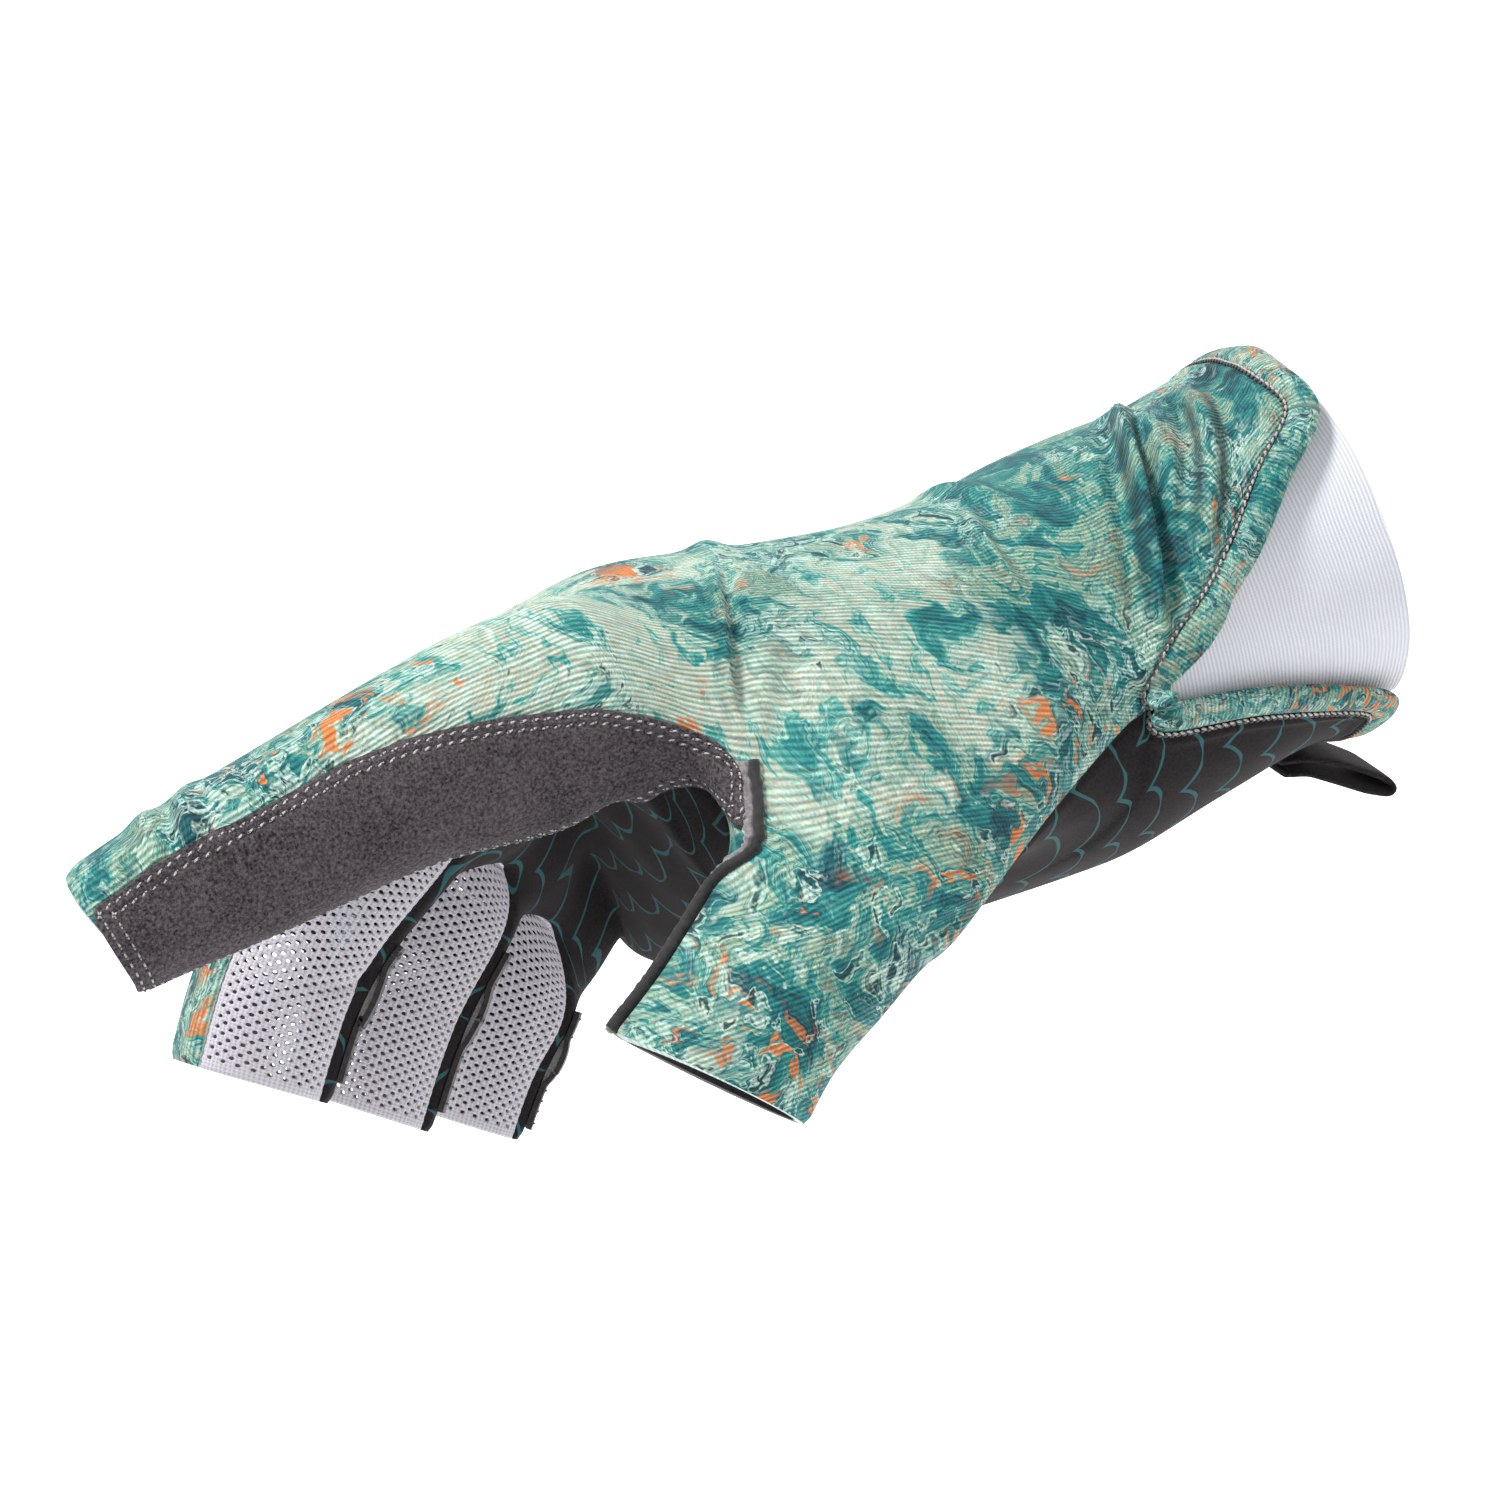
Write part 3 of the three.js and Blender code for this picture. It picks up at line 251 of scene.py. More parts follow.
# The photograph's view: the camera's turn, rise and roll, what it looks at, its distance in metres, and
# the picture's side and focal length in pixels
VIEW_YAW, VIEW_RISE, VIEW_ROLL = (math.radians(a) for a in (14, 5, 19))
VIEW_TARGET = Vector((-0.087703, 0, -0.000559))
VIEW_DISTANCE = 0.8
PHOTO_SIDE = 1500
FOCAL_PIXELS = 6080
SENSOR = 36


def view_axes():
    """The view's right, its up and the way back from the target to the camera."""
    back = Vector((-math.sin(VIEW_YAW) * math.cos(VIEW_RISE), -math.cos(VIEW_YAW) * math.cos(VIEW_RISE),
                   math.sin(VIEW_RISE)))
    level = Vector((math.cos(VIEW_YAW), -math.sin(VIEW_YAW), 0))
    upright = back.cross(level)
    right = math.cos(VIEW_ROLL) * level - math.sin(VIEW_ROLL) * upright
    up = math.sin(VIEW_ROLL) * level + math.cos(VIEW_ROLL) * upright
    return right, up, back


right, up, back = view_axes()


def named_rows(names, rows):
    return [dict(zip(names, row)) for row in rows]


def placed(along, across, up):
    return np.array([-along * GLOVE_LENGTH, across * PALM_WIDTH, up * HAND_HEIGHT])


def unit(v):
    return v / max(np.linalg.norm(v), 1e-12)


def value_at(rows, along, name):
    pairs = sorted((row["along"], row[name]) for row in rows)
    return float(np.interp(along, [p[0] for p in pairs], [p[1] for p in pairs]))


def section_point(section, angle, inset=0.0):
    """One point of a hand section: 0 is the thumb side, 90 the back, 180 the little side."""
    power = 2 / ROUNDNESS
    c, s = math.cos(math.radians(angle)), math.sin(math.radians(angle))
    share = -math.copysign(abs(c) ** power, c)
    little = (share + 1) / 2
    front = section["front"] + (section["frontLittle"] - section["front"]) * little
    rise = (section["back"] if s > 0 else front) * HAND_HEIGHT - inset
    half = section["half"] * PALM_WIDTH - inset
    drop = section["drop"] * HAND_HEIGHT * max(little, 0) ** 1.5
    return np.array([
        -section["along"] * GLOVE_LENGTH,
        section["middle"] * PALM_WIDTH + half * share,
        section["lift"] * HAND_HEIGHT + rise * math.copysign(abs(s) ** power, s) - drop,
    ])


def section_at(along):
    rows = named_rows(SECTION_NAMES, HAND_SECTIONS)
    inside = max(along, rows[0]["along"])
    found = {name: value_at(rows, inside, name) for name in SECTION_NAMES}
    found["along"] = along
    return found


def angle_at(section, height):
    above = height - section["lift"]
    reach = section["back"] if above > 0 else section["front"]
    sine = min(abs(above) / reach, 1) ** (ROUNDNESS / 2)
    return math.degrees(math.copysign(math.asin(sine), above))


def section_angles(section):
    upper, seam, lower = (angle_at(section, section[n]) for n in ("upper", "seam", "lower"))
    share = min(max((section["along"] - BUNCHING_FROM) / BUNCHING_OVER, 0), 1)
    close = share * share * (3 - 2 * share)

    def spread(start, i):
        even = start + (180 - start) * i / LITTLE_SIDE
        bunched = [start, (start + KNUCKLE_ANGLES[2]) / 2][i] if i < 2 else KNUCKLE_ANGLES[i]
        return even + (bunched - even) * close

    back = [spread(upper, i) for i in range(LITTLE_SIDE)]
    palm = [-spread(-lower, i) for i in range(LITTLE_SIDE)][::-1]
    return [*back, 180, *palm, seam]


def finger_ring(rows, i, lean=None, skew=0.0, rake=0.0):
    """Eight points round a finger: back left, back, back right, right, and the same over the palm."""
    spot = [placed(r["along"], r["across"], r["up"]) for r in rows]
    if lean is None:
        ahead = unit(spot[min(i + 1, len(rows) - 1)] - spot[i - 1])
    else:
        ahead = np.array([-math.cos(math.radians(lean)), 0, -math.sin(math.radians(lean))])
    right = np.array([0.0, 1, 0])
    right = unit(right - ahead * ahead[1])
    up = unit(np.cross(right, ahead))
    half = (rows[i]["wide"] * FINGER_WIDTH / 2, rows[i]["tall"] * FINGER_HEIGHT / 2)
    a, b = CORNER_ACROSS, CORNER_UP
    shares = [(-a, b), (0, 1), (a, b), (1, 0), (a, -b), (0, -1), (-a, -b), (-1, 0)]
    aside, above = right - ahead * skew, up + ahead * rake
    return [spot[i] + aside * x * half[0] + above * z * half[1] for x, z in shares]


def turned_point(row, angle):
    power = 2 / ROUNDNESS
    across = -(math.cos(math.radians(angle)) ** power)
    rise = math.copysign(abs(math.sin(math.radians(angle))) ** power, angle)
    middle = placed(row["along"], row["across"], row["up"])
    return middle + [0, across * row["wide"] * FINGER_WIDTH / 2, rise * row["tall"] * FINGER_HEIGHT / 2]


def build_net():
    """The glove's coarse net. Each point is x, y, z and the back's and the palm's own cloth places."""
    points, faces, panels = [], [], []

    def add(point):
        points.append(np.array([*point, 0, 0, 0, 0], float))
        return len(points) - 1

    def cloth(i, back=None, palm=None):
        if back is not None:
            points[i][BACK_ACROSS:BACK_ALONG + 1] = back
        if palm is not None:
            points[i][PALM_ACROSS:PALM_ALONG + 1] = palm

    rows = [[add(section_point(s, a)) for a in section_angles(s)]
            for s in named_rows(SECTION_NAMES, HAND_SECTIONS)]
    fingers = [named_rows(FINGER_NAMES, table) for table in FINGERS.values()]
    for i in range(3):
        rings = [finger_ring(finger, i, KNUCKLE_LEANS[f][i]) for f, finger in enumerate(fingers)]
        row = [0] * SIDES
        for name, c in INDEX_COLUMNS.items():
            row[c] = add(turned_point(fingers[0][i], INDEX_TURNS[i][name]))
        for f in (1, 2, 3):
            row[2 * f + 1] = add(rings[f][1])
            row[17 - 2 * f] = add(rings[f][5])
        row[8], row[10], row[9] = add(rings[3][2]), add(rings[3][4]), add(rings[3][3])
        for f in range(3):
            row[2 * f + 2] = add((rings[f][2] + rings[f + 1][0]) / 2)
            row[16 - 2 * f] = add((rings[f][4] + rings[f + 1][6]) / 2)
        rows.append(row)
    for row in rows:
        place = [points[i][:3] for i in row]
        half_back = 0.5 * np.linalg.norm(place[5] - place[4])
        palm_step = np.linalg.norm(place[14] - place[13])
        for start, turn, column, far in ((5, 1, BACK_ACROSS, half_back), (4, -1, BACK_ACROSS, -half_back),
                                         (14, 1, PALM_ACROSS, 0), (13, -1, PALM_ACROSS, -palm_step)):
            for step in range(SIDES // 2):
                c = (start + turn * step) % SIDES
                points[row[c]][column] = far
                nxt = (c + turn) % SIDES
                far += turn * np.linalg.norm(place[nxt] - place[c])
    for c in range(SIDES):
        far = -points[rows[0][c]][0]
        for i, row in enumerate(rows):
            if i > 0:
                far += np.linalg.norm(points[row[c]][:3] - points[rows[i - 1][c]][:3])
            points[row[c]][BACK_ALONG] = points[row[c]][PALM_ALONG] = far
    for i in range(len(rows) - 1):
        for c in range(SIDES):
            thumb_side = c in (THUMB_SIDE, THUMB_SIDE - 1)
            if thumb_side and (i < NOTCH_ROWS or THUMB_ROWS[0] <= i < THUMB_ROWS[1]):
                continue
            n = (c + 1) % SIDES
            faces.append([rows[i][c], rows[i][n], rows[i + 1][n], rows[i + 1][c]])
            panels.append("back" if c < LITTLE_SIDE or c == THUMB_SIDE else "palm")
    web = rows[-1]
    middles = []
    for f in range(3):
        above, below = points[web[2 * f + 2]], points[web[16 - 2 * f]]
        middles.append(add((above[:3] + below[:3]) / 2))
        cloth(middles[-1], above[BACK_ACROSS:BACK_ALONG + 1], below[PALM_ACROSS:PALM_ALONG + 1])
    strips = [[[web[2 * f + 2], middles[f], web[16 - 2 * f]]] for f in range(3)]
    for f, finger in enumerate(fingers):
        right = middles[f] if f < 3 else web[LITTLE_SIDE]
        left = middles[f - 1] if f > 0 else web[THUMB_SIDE]
        ring = [web[2 * f], web[2 * f + 1], web[2 * f + 2], right,
                web[16 - 2 * f], web[17 - 2 * f], web[18 - 2 * f], left]
        sides = [f"fourchette_{f}"] * 2 if f < 3 else ["back", "palm"]
        near = [f"fourchette_{f - 1}"] * 2 if f > 0 else ["palm", "back"]
        kinds = ["back", "back", *sides, "palm", "palm", *near]
        u_back, u_palm = points[ring[1]][BACK_ACROSS], points[ring[5]][PALM_ACROSS]
        v_far = points[ring[1]][BACK_ALONG]
        for i in range(3, len(finger)):
            slant = (INDEX_SKEWS[i], INDEX_RAKES[i]) if f == 0 else (0.0, 0.0)
            spots = finger_ring(finger, i, None, *slant)
            step = placed(*[finger[i][n] - finger[i - 1][n] for n in ("along", "across", "up")])
            v_far += np.linalg.norm(step)
            nxt = [add(p) for p in spots]
            for start, from_middle, column in ((1, u_back, BACK_ACROSS), (5, u_palm, PALM_ACROSS)):
                for way in (1, -1):
                    far = from_middle
                    for k in range(5 if way == 1 else 4):
                        at = (start + way * k) % 8
                        points[nxt[at]][column] = far
                        points[nxt[at]][column + 1] = v_far
                        after = (start + way * (k + 1)) % 8
                        far += way * np.linalg.norm(spots[after] - spots[at])
            for k in range(8):
                k2 = (k + 1) % 8
                faces.append([ring[k], ring[k2], nxt[k2], nxt[k]])
                panels.append(kinds[k])
            ring = nxt
            if f < 3:
                strips[f].insert(0, [ring[2], ring[3], ring[4]])
            if f > 0:
                strips[f - 1].append([ring[0], ring[7], ring[6]])
    first, last = THUMB_ROWS
    hole = [rows[last][THUMB_SIDE]] + [rows[i][0] for i in range(last, first - 1, -1)]
    hole += [rows[first][THUMB_SIDE]] + [rows[i][18] for i in range(first, last + 1)]
    ring, seam = hole, [hole[0]]
    edge_back = np.mean([points[i][[2, BACK_ACROSS]] for i in hole[1:6]], axis=0)
    edge_palm = np.mean([points[i][[2, PALM_ACROSS]] for i in hole[7:]], axis=0)
    ahead_back = np.mean([points[i][BACK_ALONG] + points[i][0] for i in hole[1:6]])
    ahead_palm = np.mean([points[i][PALM_ALONG] + points[i][0] for i in hole[7:]])
    for station in named_rows(THUMB_NAMES, THUMB_STATIONS):
        front = placed(station["frontAlong"], station["across"], station["frontUp"])
        back = placed(station["backAlong"], station["across"], station["backUp"])
        nxt = []
        for k in range(THUMB_RING):
            turn = k / THUMB_RING * 2 * math.pi
            spot = back + (front - back) * (1 + math.cos(turn)) / 2
            spot = spot - [0, math.sin(turn) * station["thick"] * THUMB_WIDTH / 2, 0]
            nxt.append(add(spot))
            cloth(nxt[-1], (edge_back[1] + spot[2] - edge_back[0], ahead_back - spot[0]),
                  (edge_palm[1] - spot[2] + edge_palm[0], ahead_palm - spot[0]))
        for k in range(THUMB_RING):
            k2 = (k + 1) % THUMB_RING
            faces.append([ring[k2], ring[k], nxt[k], nxt[k2]])
            panels.append("back" if k < THUMB_RING // 2 else "palm")
        ring = nxt
        seam.append(ring[0])
    used = sorted({i for face in faces for i in face})
    rename = {old: new for new, old in enumerate(used)}
    return dict(
        points=np.array([points[i] for i in used]),
        faces=np.array([[rename[i] for i in face] for face in faces]),
        panels=np.array(panels),
        strips=[np.array([[rename[i] for i in row] for row in strip]) for strip in strips],
        seam=[rename[i] for i in seam],
        cuff=rename[rows[0][0]],
    )


def relations(faces):
    """Each edge's two ends, each face's edge numbers, and how many faces each edge has."""
    pairs = np.stack([faces, np.roll(faces, -1, axis=1)], axis=2).reshape(-1, 2)
    pairs = np.sort(pairs, axis=1)
    edges, which, count = np.unique(pairs, axis=0, return_inverse=True, return_counts=True)
    return edges, which.reshape(-1, 4), count


def neighbours(size, edges, values):
    """The sum, at each point, of one value of each edge's other end."""
    first, second = edges[:, 0], edges[:, 1]
    return gathered(size, first, values[second]) + gathered(size, second, values[first])


def gathered(size, ids, values):
    """Rows of values added up under their numbers."""
    total = np.zeros((size, values.shape[1]))
    np.add.at(total, ids, values)
    return total


def limit_points(points, faces):
    """Where the net's points end up on the smooth surface."""
    edges, _, count = relations(faces)
    size = len(points)
    valence = np.bincount(faces.ravel(), minlength=size)[:, None]
    near = neighbours(size, edges, points)
    across = sum(gathered(size, faces[:, k], points[faces[:, (k + 2) % 4]]) for k in range(4))
    inner = (points * valence**2 + 4 * near + across) / (valence * (valence + 5))
    rim = edges[count == 1]
    ends = neighbours(size, rim, points)
    on_rim = np.bincount(rim.ravel(), minlength=size)[:, None] == 2
    return np.where(on_rim, (4 * points + ends) / 6, inner)


def refine(net):
    """One step of Catmull-Clark subdivision that keeps panels, strips and seams."""
    points, faces = net["points"], net["faces"]
    edges, which, count = relations(faces)
    size = len(points)
    centres = points[faces].mean(axis=1)
    middles = points[edges].mean(axis=1)
    beside = gathered(len(edges), which.ravel(), np.repeat(centres, 4, axis=0))
    inner = (count == 2)[:, None]
    edge_points = np.where(inner, (2 * middles + beside) / 4, middles)
    valence = np.bincount(faces.ravel(), minlength=size)[:, None]
    face_mean = gathered(size, faces.ravel(), np.repeat(centres, 4, axis=0)) / valence
    touching = np.bincount(edges.ravel(), minlength=size)[:, None]
    edge_mean = (gathered(size, edges[:, 0], middles) + gathered(size, edges[:, 1], middles)) / touching
    moved = (face_mean + 2 * edge_mean + (valence - 3) * points) / valence
    rim = edges[count == 1]
    ends = neighbours(size, rim, points)
    on_rim = np.bincount(rim.ravel(), minlength=size)[:, None] == 2
    moved = np.where(on_rim, (6 * points + ends) / 8, moved)
    edge_id = {tuple(e): size + i for i, e in enumerate(edges.tolist())}
    face_id = {tuple(sorted(f)): size + len(edges) + i for i, f in enumerate(faces.tolist())}
    middle = np.arange(len(faces)) + size + len(edges)
    after, before = which + size, np.roll(which, 1, axis=1) + size
    split = [np.stack([faces[:, k], after[:, k], middle, before[:, k]], axis=1) for k in range(4)]

    def between(a, b):
        return edge_id[(a, b) if a < b else (b, a)]

    def finer(grid):
        r, c = grid.shape
        fine = np.zeros((2 * r - 1, 2 * c - 1), int)
        fine[::2, ::2] = grid
        for i in range(r):
            for k in range(c):
                if k + 1 < c:
                    fine[2 * i, 2 * k + 1] = between(grid[i, k], grid[i, k + 1])
                if i + 1 < r:
                    fine[2 * i + 1, 2 * k] = between(grid[i, k], grid[i + 1, k])
                if i + 1 < r and k + 1 < c:
                    cell = (grid[i, k], grid[i, k + 1], grid[i + 1, k], grid[i + 1, k + 1])
                    fine[2 * i + 1, 2 * k + 1] = face_id[tuple(sorted(int(x) for x in cell))]
        return fine

    seam = net["seam"]
    finer_seam = [seam[0]]
    for a, b in zip(seam, seam[1:]):
        finer_seam += [between(a, b), b]
    return dict(
        net,
        points=np.concatenate([moved, edge_points, centres]),
        faces=np.stack(split, axis=1).reshape(-1, 4),
        panels=np.repeat(net["panels"], 4),
        strips=[finer(strip) for strip in net["strips"]],
        seam=finer_seam,
    )


def fitted(net):
    """Moves the net's points until the smooth surface passes close to the tables' places."""
    target = net["points"]
    points = target.copy()
    for _ in range(FIT_ROUNDS):
        points = points + FIT_SHARE * (target - limit_points(points, net["faces"]))
    return dict(net, points=points)


def normals_of(places, faces):
    a, b, c, d = (places[faces[:, k]] for k in range(4))
    flat = np.cross(c - a, d - b)
    total = gathered(len(places), faces.ravel(), np.repeat(flat, 4, axis=0))
    return total / np.maximum(np.linalg.norm(total, axis=1, keepdims=True), 1e-12)


def distance_to_path(places, path):
    best = np.full(len(places), 1e9)
    for a, b in zip(path, path[1:]):
        along = b - a
        share = np.clip((places - a) @ along / max(along @ along, 1e-9), 0, 1)
        best = np.minimum(best, np.linalg.norm(places - a - share[:, None] * along, axis=1))
    return best


def laid_path(points):
    """A smooth line through three points, each brought onto the glove's surface."""
    a, b, c = (np.array(p, float) for p in points)
    share = np.linspace(0, 1, FOLD_POINTS)[:, None]
    line = a * (1 - share) * (1 - 2 * share) + 4 * b * share * (1 - share) + c * share * (2 * share - 1)
    return np.array([bare_tree.find_nearest(Vector(p))[0] for p in line])


def fine_fold_heights(places):
    """Ridges and dents that die out towards their ends, and the shade drawn on both sides of a ridge."""
    total, dark = np.zeros(len(places)), np.zeros(len(places))
    for a, b, c, high, broad in FINE_FOLDS:
        path = laid_path((a, b, c))
        near = np.linalg.norm(places - path.mean(axis=0), axis=1) < FOLD_REACH
        spots = places[near]
        at = np.linalg.norm(spots[:, None] - path[None], axis=2).argmin(axis=1)
        off = distance_to_path(spots, path) / broad
        from_end = np.minimum(at, len(path) - 1 - at)
        fade = np.clip(from_end / FADE_POINTS, 0.0, 1.0) ** FADE_POWER
        total[near] += high * np.exp(-abs(off) ** FOLD_POWER) * fade
        if high > SHADED_HEIGHT:
            beside = np.exp(-(((off - SHADE_PLACE) / SHADE_BREADTH) ** 2))
            dark[near] += beside * fade * min(high / SHADE_WHOLE, SHADE_LIMIT)
    return total, np.clip(dark, 0, 1)


def fold_heights(places):
    total = np.zeros(len(places))
    for a, b, c, high, broad in FOLDS:
        off = distance_to_path(places, [placed(*a), placed(*b), placed(*c)]) / (broad * CLOTH)
        total += high * CLOTH * np.exp(-off * off)
    return total


def tree_of(spots, polygons):
    return BVHTree.FromPolygons([Vector(p) for p in spots], polygons.tolist())


net = fitted(build_net())
for _ in range(LEVELS):
    net = refine(net)
smooth = limit_points(net["points"], net["faces"])
places, net_cloth = smooth[:, :3], smooth
faces, panels = net["faces"], net["panels"]
surface_triangles = np.concatenate([faces[:, [0, 1, 2]], faces[:, [0, 2, 3]]])
bare_normals = normals_of(places, faces)
large_heights = fold_heights(places)
bare_tree = tree_of(places, faces)
fine_heights, crease_shade = fine_fold_heights(places)
places = places + bare_normals * (large_heights + fine_heights)[:, None]
normals = normals_of(places, faces)
surface_tree = tree_of(places, surface_triangles)


def rim_loop(start):
    """The rim's points in order, from one of them."""
    edges, _, count = relations(faces)
    near = {}
    for a, b in edges[count == 1].tolist():
        near.setdefault(a, []).append(b)
        near.setdefault(b, []).append(a)
    loop, before, here = [start], start, near[start][0]
    while here != start:
        loop.append(here)
        nxt = [i for i in near[here] if i != before][0]
        before, here = here, nxt
    return loop


cuff_rim = rim_loop(net["cuff"])


def surface_hit(start, direction):
    """Where a line from inside meets the glove, with the normal there."""
    direction = unit(np.asarray(direction, float))
    point, _, index, _ = surface_tree.ray_cast(Vector(start), Vector(direction))
    return np.array(point), unit(normals[surface_triangles[index]].sum(axis=0))


# Materials

def linear(colour):
    """An sRGB hex colour as linear red, green, blue and alpha."""
    parts = [int(colour[i:i + 2], 16) / 255 for i in (1, 3, 5)]
    return (*[p / 12.92 if p <= 0.04045 else ((p + 0.055) / 1.055) ** 2.4 for p in parts], 1.0)


def add(tree, kind, wires=None, **settings):
    """Adds one node: its properties by name, and its inputs by name or number, from values or sockets."""
    made = tree.nodes.new(kind)
    for name, value in settings.items():
        setattr(made, name, value)
    for key, value in (wires or {}).items():
        if isinstance(value, bpy.types.NodeSocket):
            tree.links.new(value, made.inputs[key])
        else:
            made.inputs[key].default_value = value
    return made


def new_material(name):
    material = bpy.data.materials.new(name)
    material.use_nodes = True
    tree = material.node_tree
    shader = next(n for n in tree.nodes if n.type == "BSDF_PRINCIPLED")
    return material, tree, shader


def stops(ramp, pairs):
    """Sets a colour ramp's stops from pairs of place and hex colour."""
    points = ramp.color_ramp.elements
    while len(points) < len(pairs):
        points.new(0.5)
    for point, (place, colour) in zip(points, pairs):
        point.position = place
        point.color = linear(colour)
    return ramp.outputs["Color"]


def maths(tree, operation, *values):
    wires = dict(enumerate(values))
    return add(tree, "ShaderNodeMath", wires, operation=operation).outputs[0]


def product(tree, first, *others):
    for other in others:
        first = maths(tree, "MULTIPLY", first, other)
    return first


def rest(tree, value):
    """What a share leaves of one."""
    return maths(tree, "SUBTRACT", 1.0, value)


def vectors(tree, operation, one, other):
    return add(tree, "ShaderNodeVectorMath", {0: one, 1: other}, operation=operation).outputs[0]


def finished(tree, shader, colour, bump, inputs):
    """Joins a material's colour and bump to its shader and sets the shader's plain inputs."""
    tree.links.new(colour, shader.inputs["Base Color"])
    tree.links.new(bump.outputs[0], shader.inputs["Normal"])
    for name, value in inputs.items():
        shader.inputs[name].default_value = value


def mixed(tree, share, one, other, blend="MIX"):
    node = add(tree, "ShaderNodeMix", {0: share, 6: one, 7: other}, data_type="RGBA", blend_type=blend)
    return node.outputs[2]


def knit_ribs(tree, cloth, rib, course):
    """Height of a fine knit: ribs that run along the cloth, crossed by courses."""
    split = add(tree, "ShaderNodeSeparateXYZ", {0: cloth})
    waver = add(tree, "ShaderNodeTexNoise", {"Vector": cloth, "Scale": 0.09, "Detail": 1.0})
    across = maths(tree, "MULTIPLY_ADD", waver.outputs["Fac"], 1.2, split.outputs[0])
    ribs = maths(tree, "SINE", maths(tree, "MULTIPLY", across, 2 * math.pi / rib))
    shift = maths(tree, "MULTIPLY", ribs, 0.6)
    turns = maths(tree, "MULTIPLY_ADD", split.outputs[1], 2 * math.pi / course, shift)
    return ribs, maths(tree, "SINE", turns)


def masked(tree, value, low, high):
    """0 below low, 1 above high, and smooth between."""
    return add(tree, "ShaderNodeMapRange", {"Value": value, 1: low, 2: high}).outputs[0]


def cloud(tree, place, scale, detail=3.0, layer=0.0, rough=0.6):
    """A noise from 0 to 1 that differs from layer to layer."""
    wires = {"Vector": place, "W": layer, "Scale": scale, "Detail": detail, "Roughness": rough}
    return add(tree, "ShaderNodeTexNoise", wires, noise_dimensions="4D").outputs["Fac"]


def print_knit(name, rib, course, ember=0.575, fine=1.0, pale=0.0):
    """Sublimation-printed polyester knit: a matt face with fine ribs and a bright marbled print."""
    material, tree, shader = new_material(name)
    uv = add(tree, "ShaderNodeUVMap", uv_map="cloth").outputs[0]
    grain = add(tree, "ShaderNodeTexCoord").outputs["Object"]
    flow = vectors(tree, "MULTIPLY", uv, (fine, fine, 1))
    # the flow is bent twice, broadly and finely: waves per millimetre and reach in millimetres
    for scale, reach in ((0.06, 20), (0.24, 7)):
        warp = add(tree, "ShaderNodeTexNoise",
                   {"Vector": flow, "Scale": scale, "Detail": 3.0, "Roughness": 0.6})
        bent = vectors(tree, "MULTIPLY", warp.outputs["Color"], (reach, reach, 0))
        flow = vectors(tree, "ADD", flow, bent)
    spot = add(tree, "ShaderNodeSeparateXYZ", {0: grain})
    # parts of the glove by their places in metres: its underside, its cuff and, further on, its knuckles
    low = rest(tree, masked(tree, spot.outputs[2], -0.022, 0.004))
    cuff = masked(tree, spot.outputs[0], -0.064, -0.036)
    broad = cloud(tree, flow, 0.1, 9.0, 1.0, 0.8)
    teal = stops(add(tree, "ShaderNodeValToRGB", {"Fac": broad}), [
        (0.36, "#0b3640"), (0.43, "#124f58"), (0.47, "#1a6f71"), (0.505, "#23807d"), (0.525, "#5d9c8e"),
        (0.545, "#b1b79c"), (0.565, "#4a8d80"), (0.585, "#1a6b70"), (0.605, "#b3a283"), (0.65, "#6c6a52"),
        (0.69, "#155f66")])
    sand = stops(add(tree, "ShaderNodeValToRGB", {"Fac": broad}), [
        (0.37, "#1a686e"), (0.43, "#2f8b87"), (0.465, "#6aa99c"), (0.485, "#b3c9bb"), (0.51, "#aaa78f"),
        (0.53, "#c3d0c3"), (0.555, "#7fb5a8"), (0.575, "#b1b19a"), (0.61, "#c9d8cc"), (0.64, "#3f978f"),
        (0.68, "#bccbbd")])
    knuckles = masked(tree, spot.outputs[0], -0.15, -0.125)
    raised = product(tree, maths(tree, "SUBTRACT", knuckles, low), rest(tree, cuff))
    raised = maths(tree, "MULTIPLY_ADD", cuff, -0.4, raised)
    share = maths(tree, "MULTIPLY_ADD", raised, 0.14, cloud(tree, flow, 0.034, 5.0, 9.0, 0.7))
    ground = mixed(tree, masked(tree, share, 0.56 - pale, 0.62 - pale), teal, sand)
    # pale rings round dark seeds, in patches
    seeds = add(tree, "ShaderNodeTexVoronoi", {"Vector": flow, "Scale": 0.34, "Randomness": 1.0})
    near = maths(tree, "MULTIPLY_ADD", cloud(tree, uv, 0.9, 4.0, 2.0, 0.7), 0.6,
                 maths(tree, "ADD", seeds.outputs["Distance"], -0.12))
    patch = masked(tree, maths(tree, "MULTIPLY_ADD", low, 0.16, cloud(tree, uv, 0.05, 3.0, 3.0)), 0.5, 0.57)
    ring = product(tree, masked(tree, near, 0.44, 0.5), rest(tree, masked(tree, near, 0.52, 0.6)))
    colour = mixed(tree, product(tree, ring, patch, 0.75), ground, linear("#c6dccd"))
    seed = rest(tree, masked(tree, near, 0.36, 0.42))
    colour = mixed(tree, product(tree, seed, patch, 0.9), colour, linear("#173b42"))
    # thin veins of foam
    vein = maths(tree, "ABSOLUTE", maths(tree, "SUBTRACT", cloud(tree, flow, 0.26, 6.0, 4.0, 0.65), 0.5))
    thin = rest(tree, masked(tree, vein, 0.008, 0.028))
    where = masked(tree, cloud(tree, uv, 0.05, 2.0, 5.0), 0.44, 0.54)
    colour = mixed(tree, product(tree, thin, where, 0.65), colour, linear("#c3dfd2"))
    # orange flecks
    few = masked(tree, maths(tree, "MULTIPLY_ADD", low, 0.17, cloud(tree, uv, 0.042, 2.0, 6.0)), 0.54, 0.62)
    lit = masked(tree, cloud(tree, flow, 0.33, 5.0, 7.0), ember, ember + 0.03)
    colour = mixed(tree, product(tree, lit, few, 0.92), colour, linear("#d67a38"))
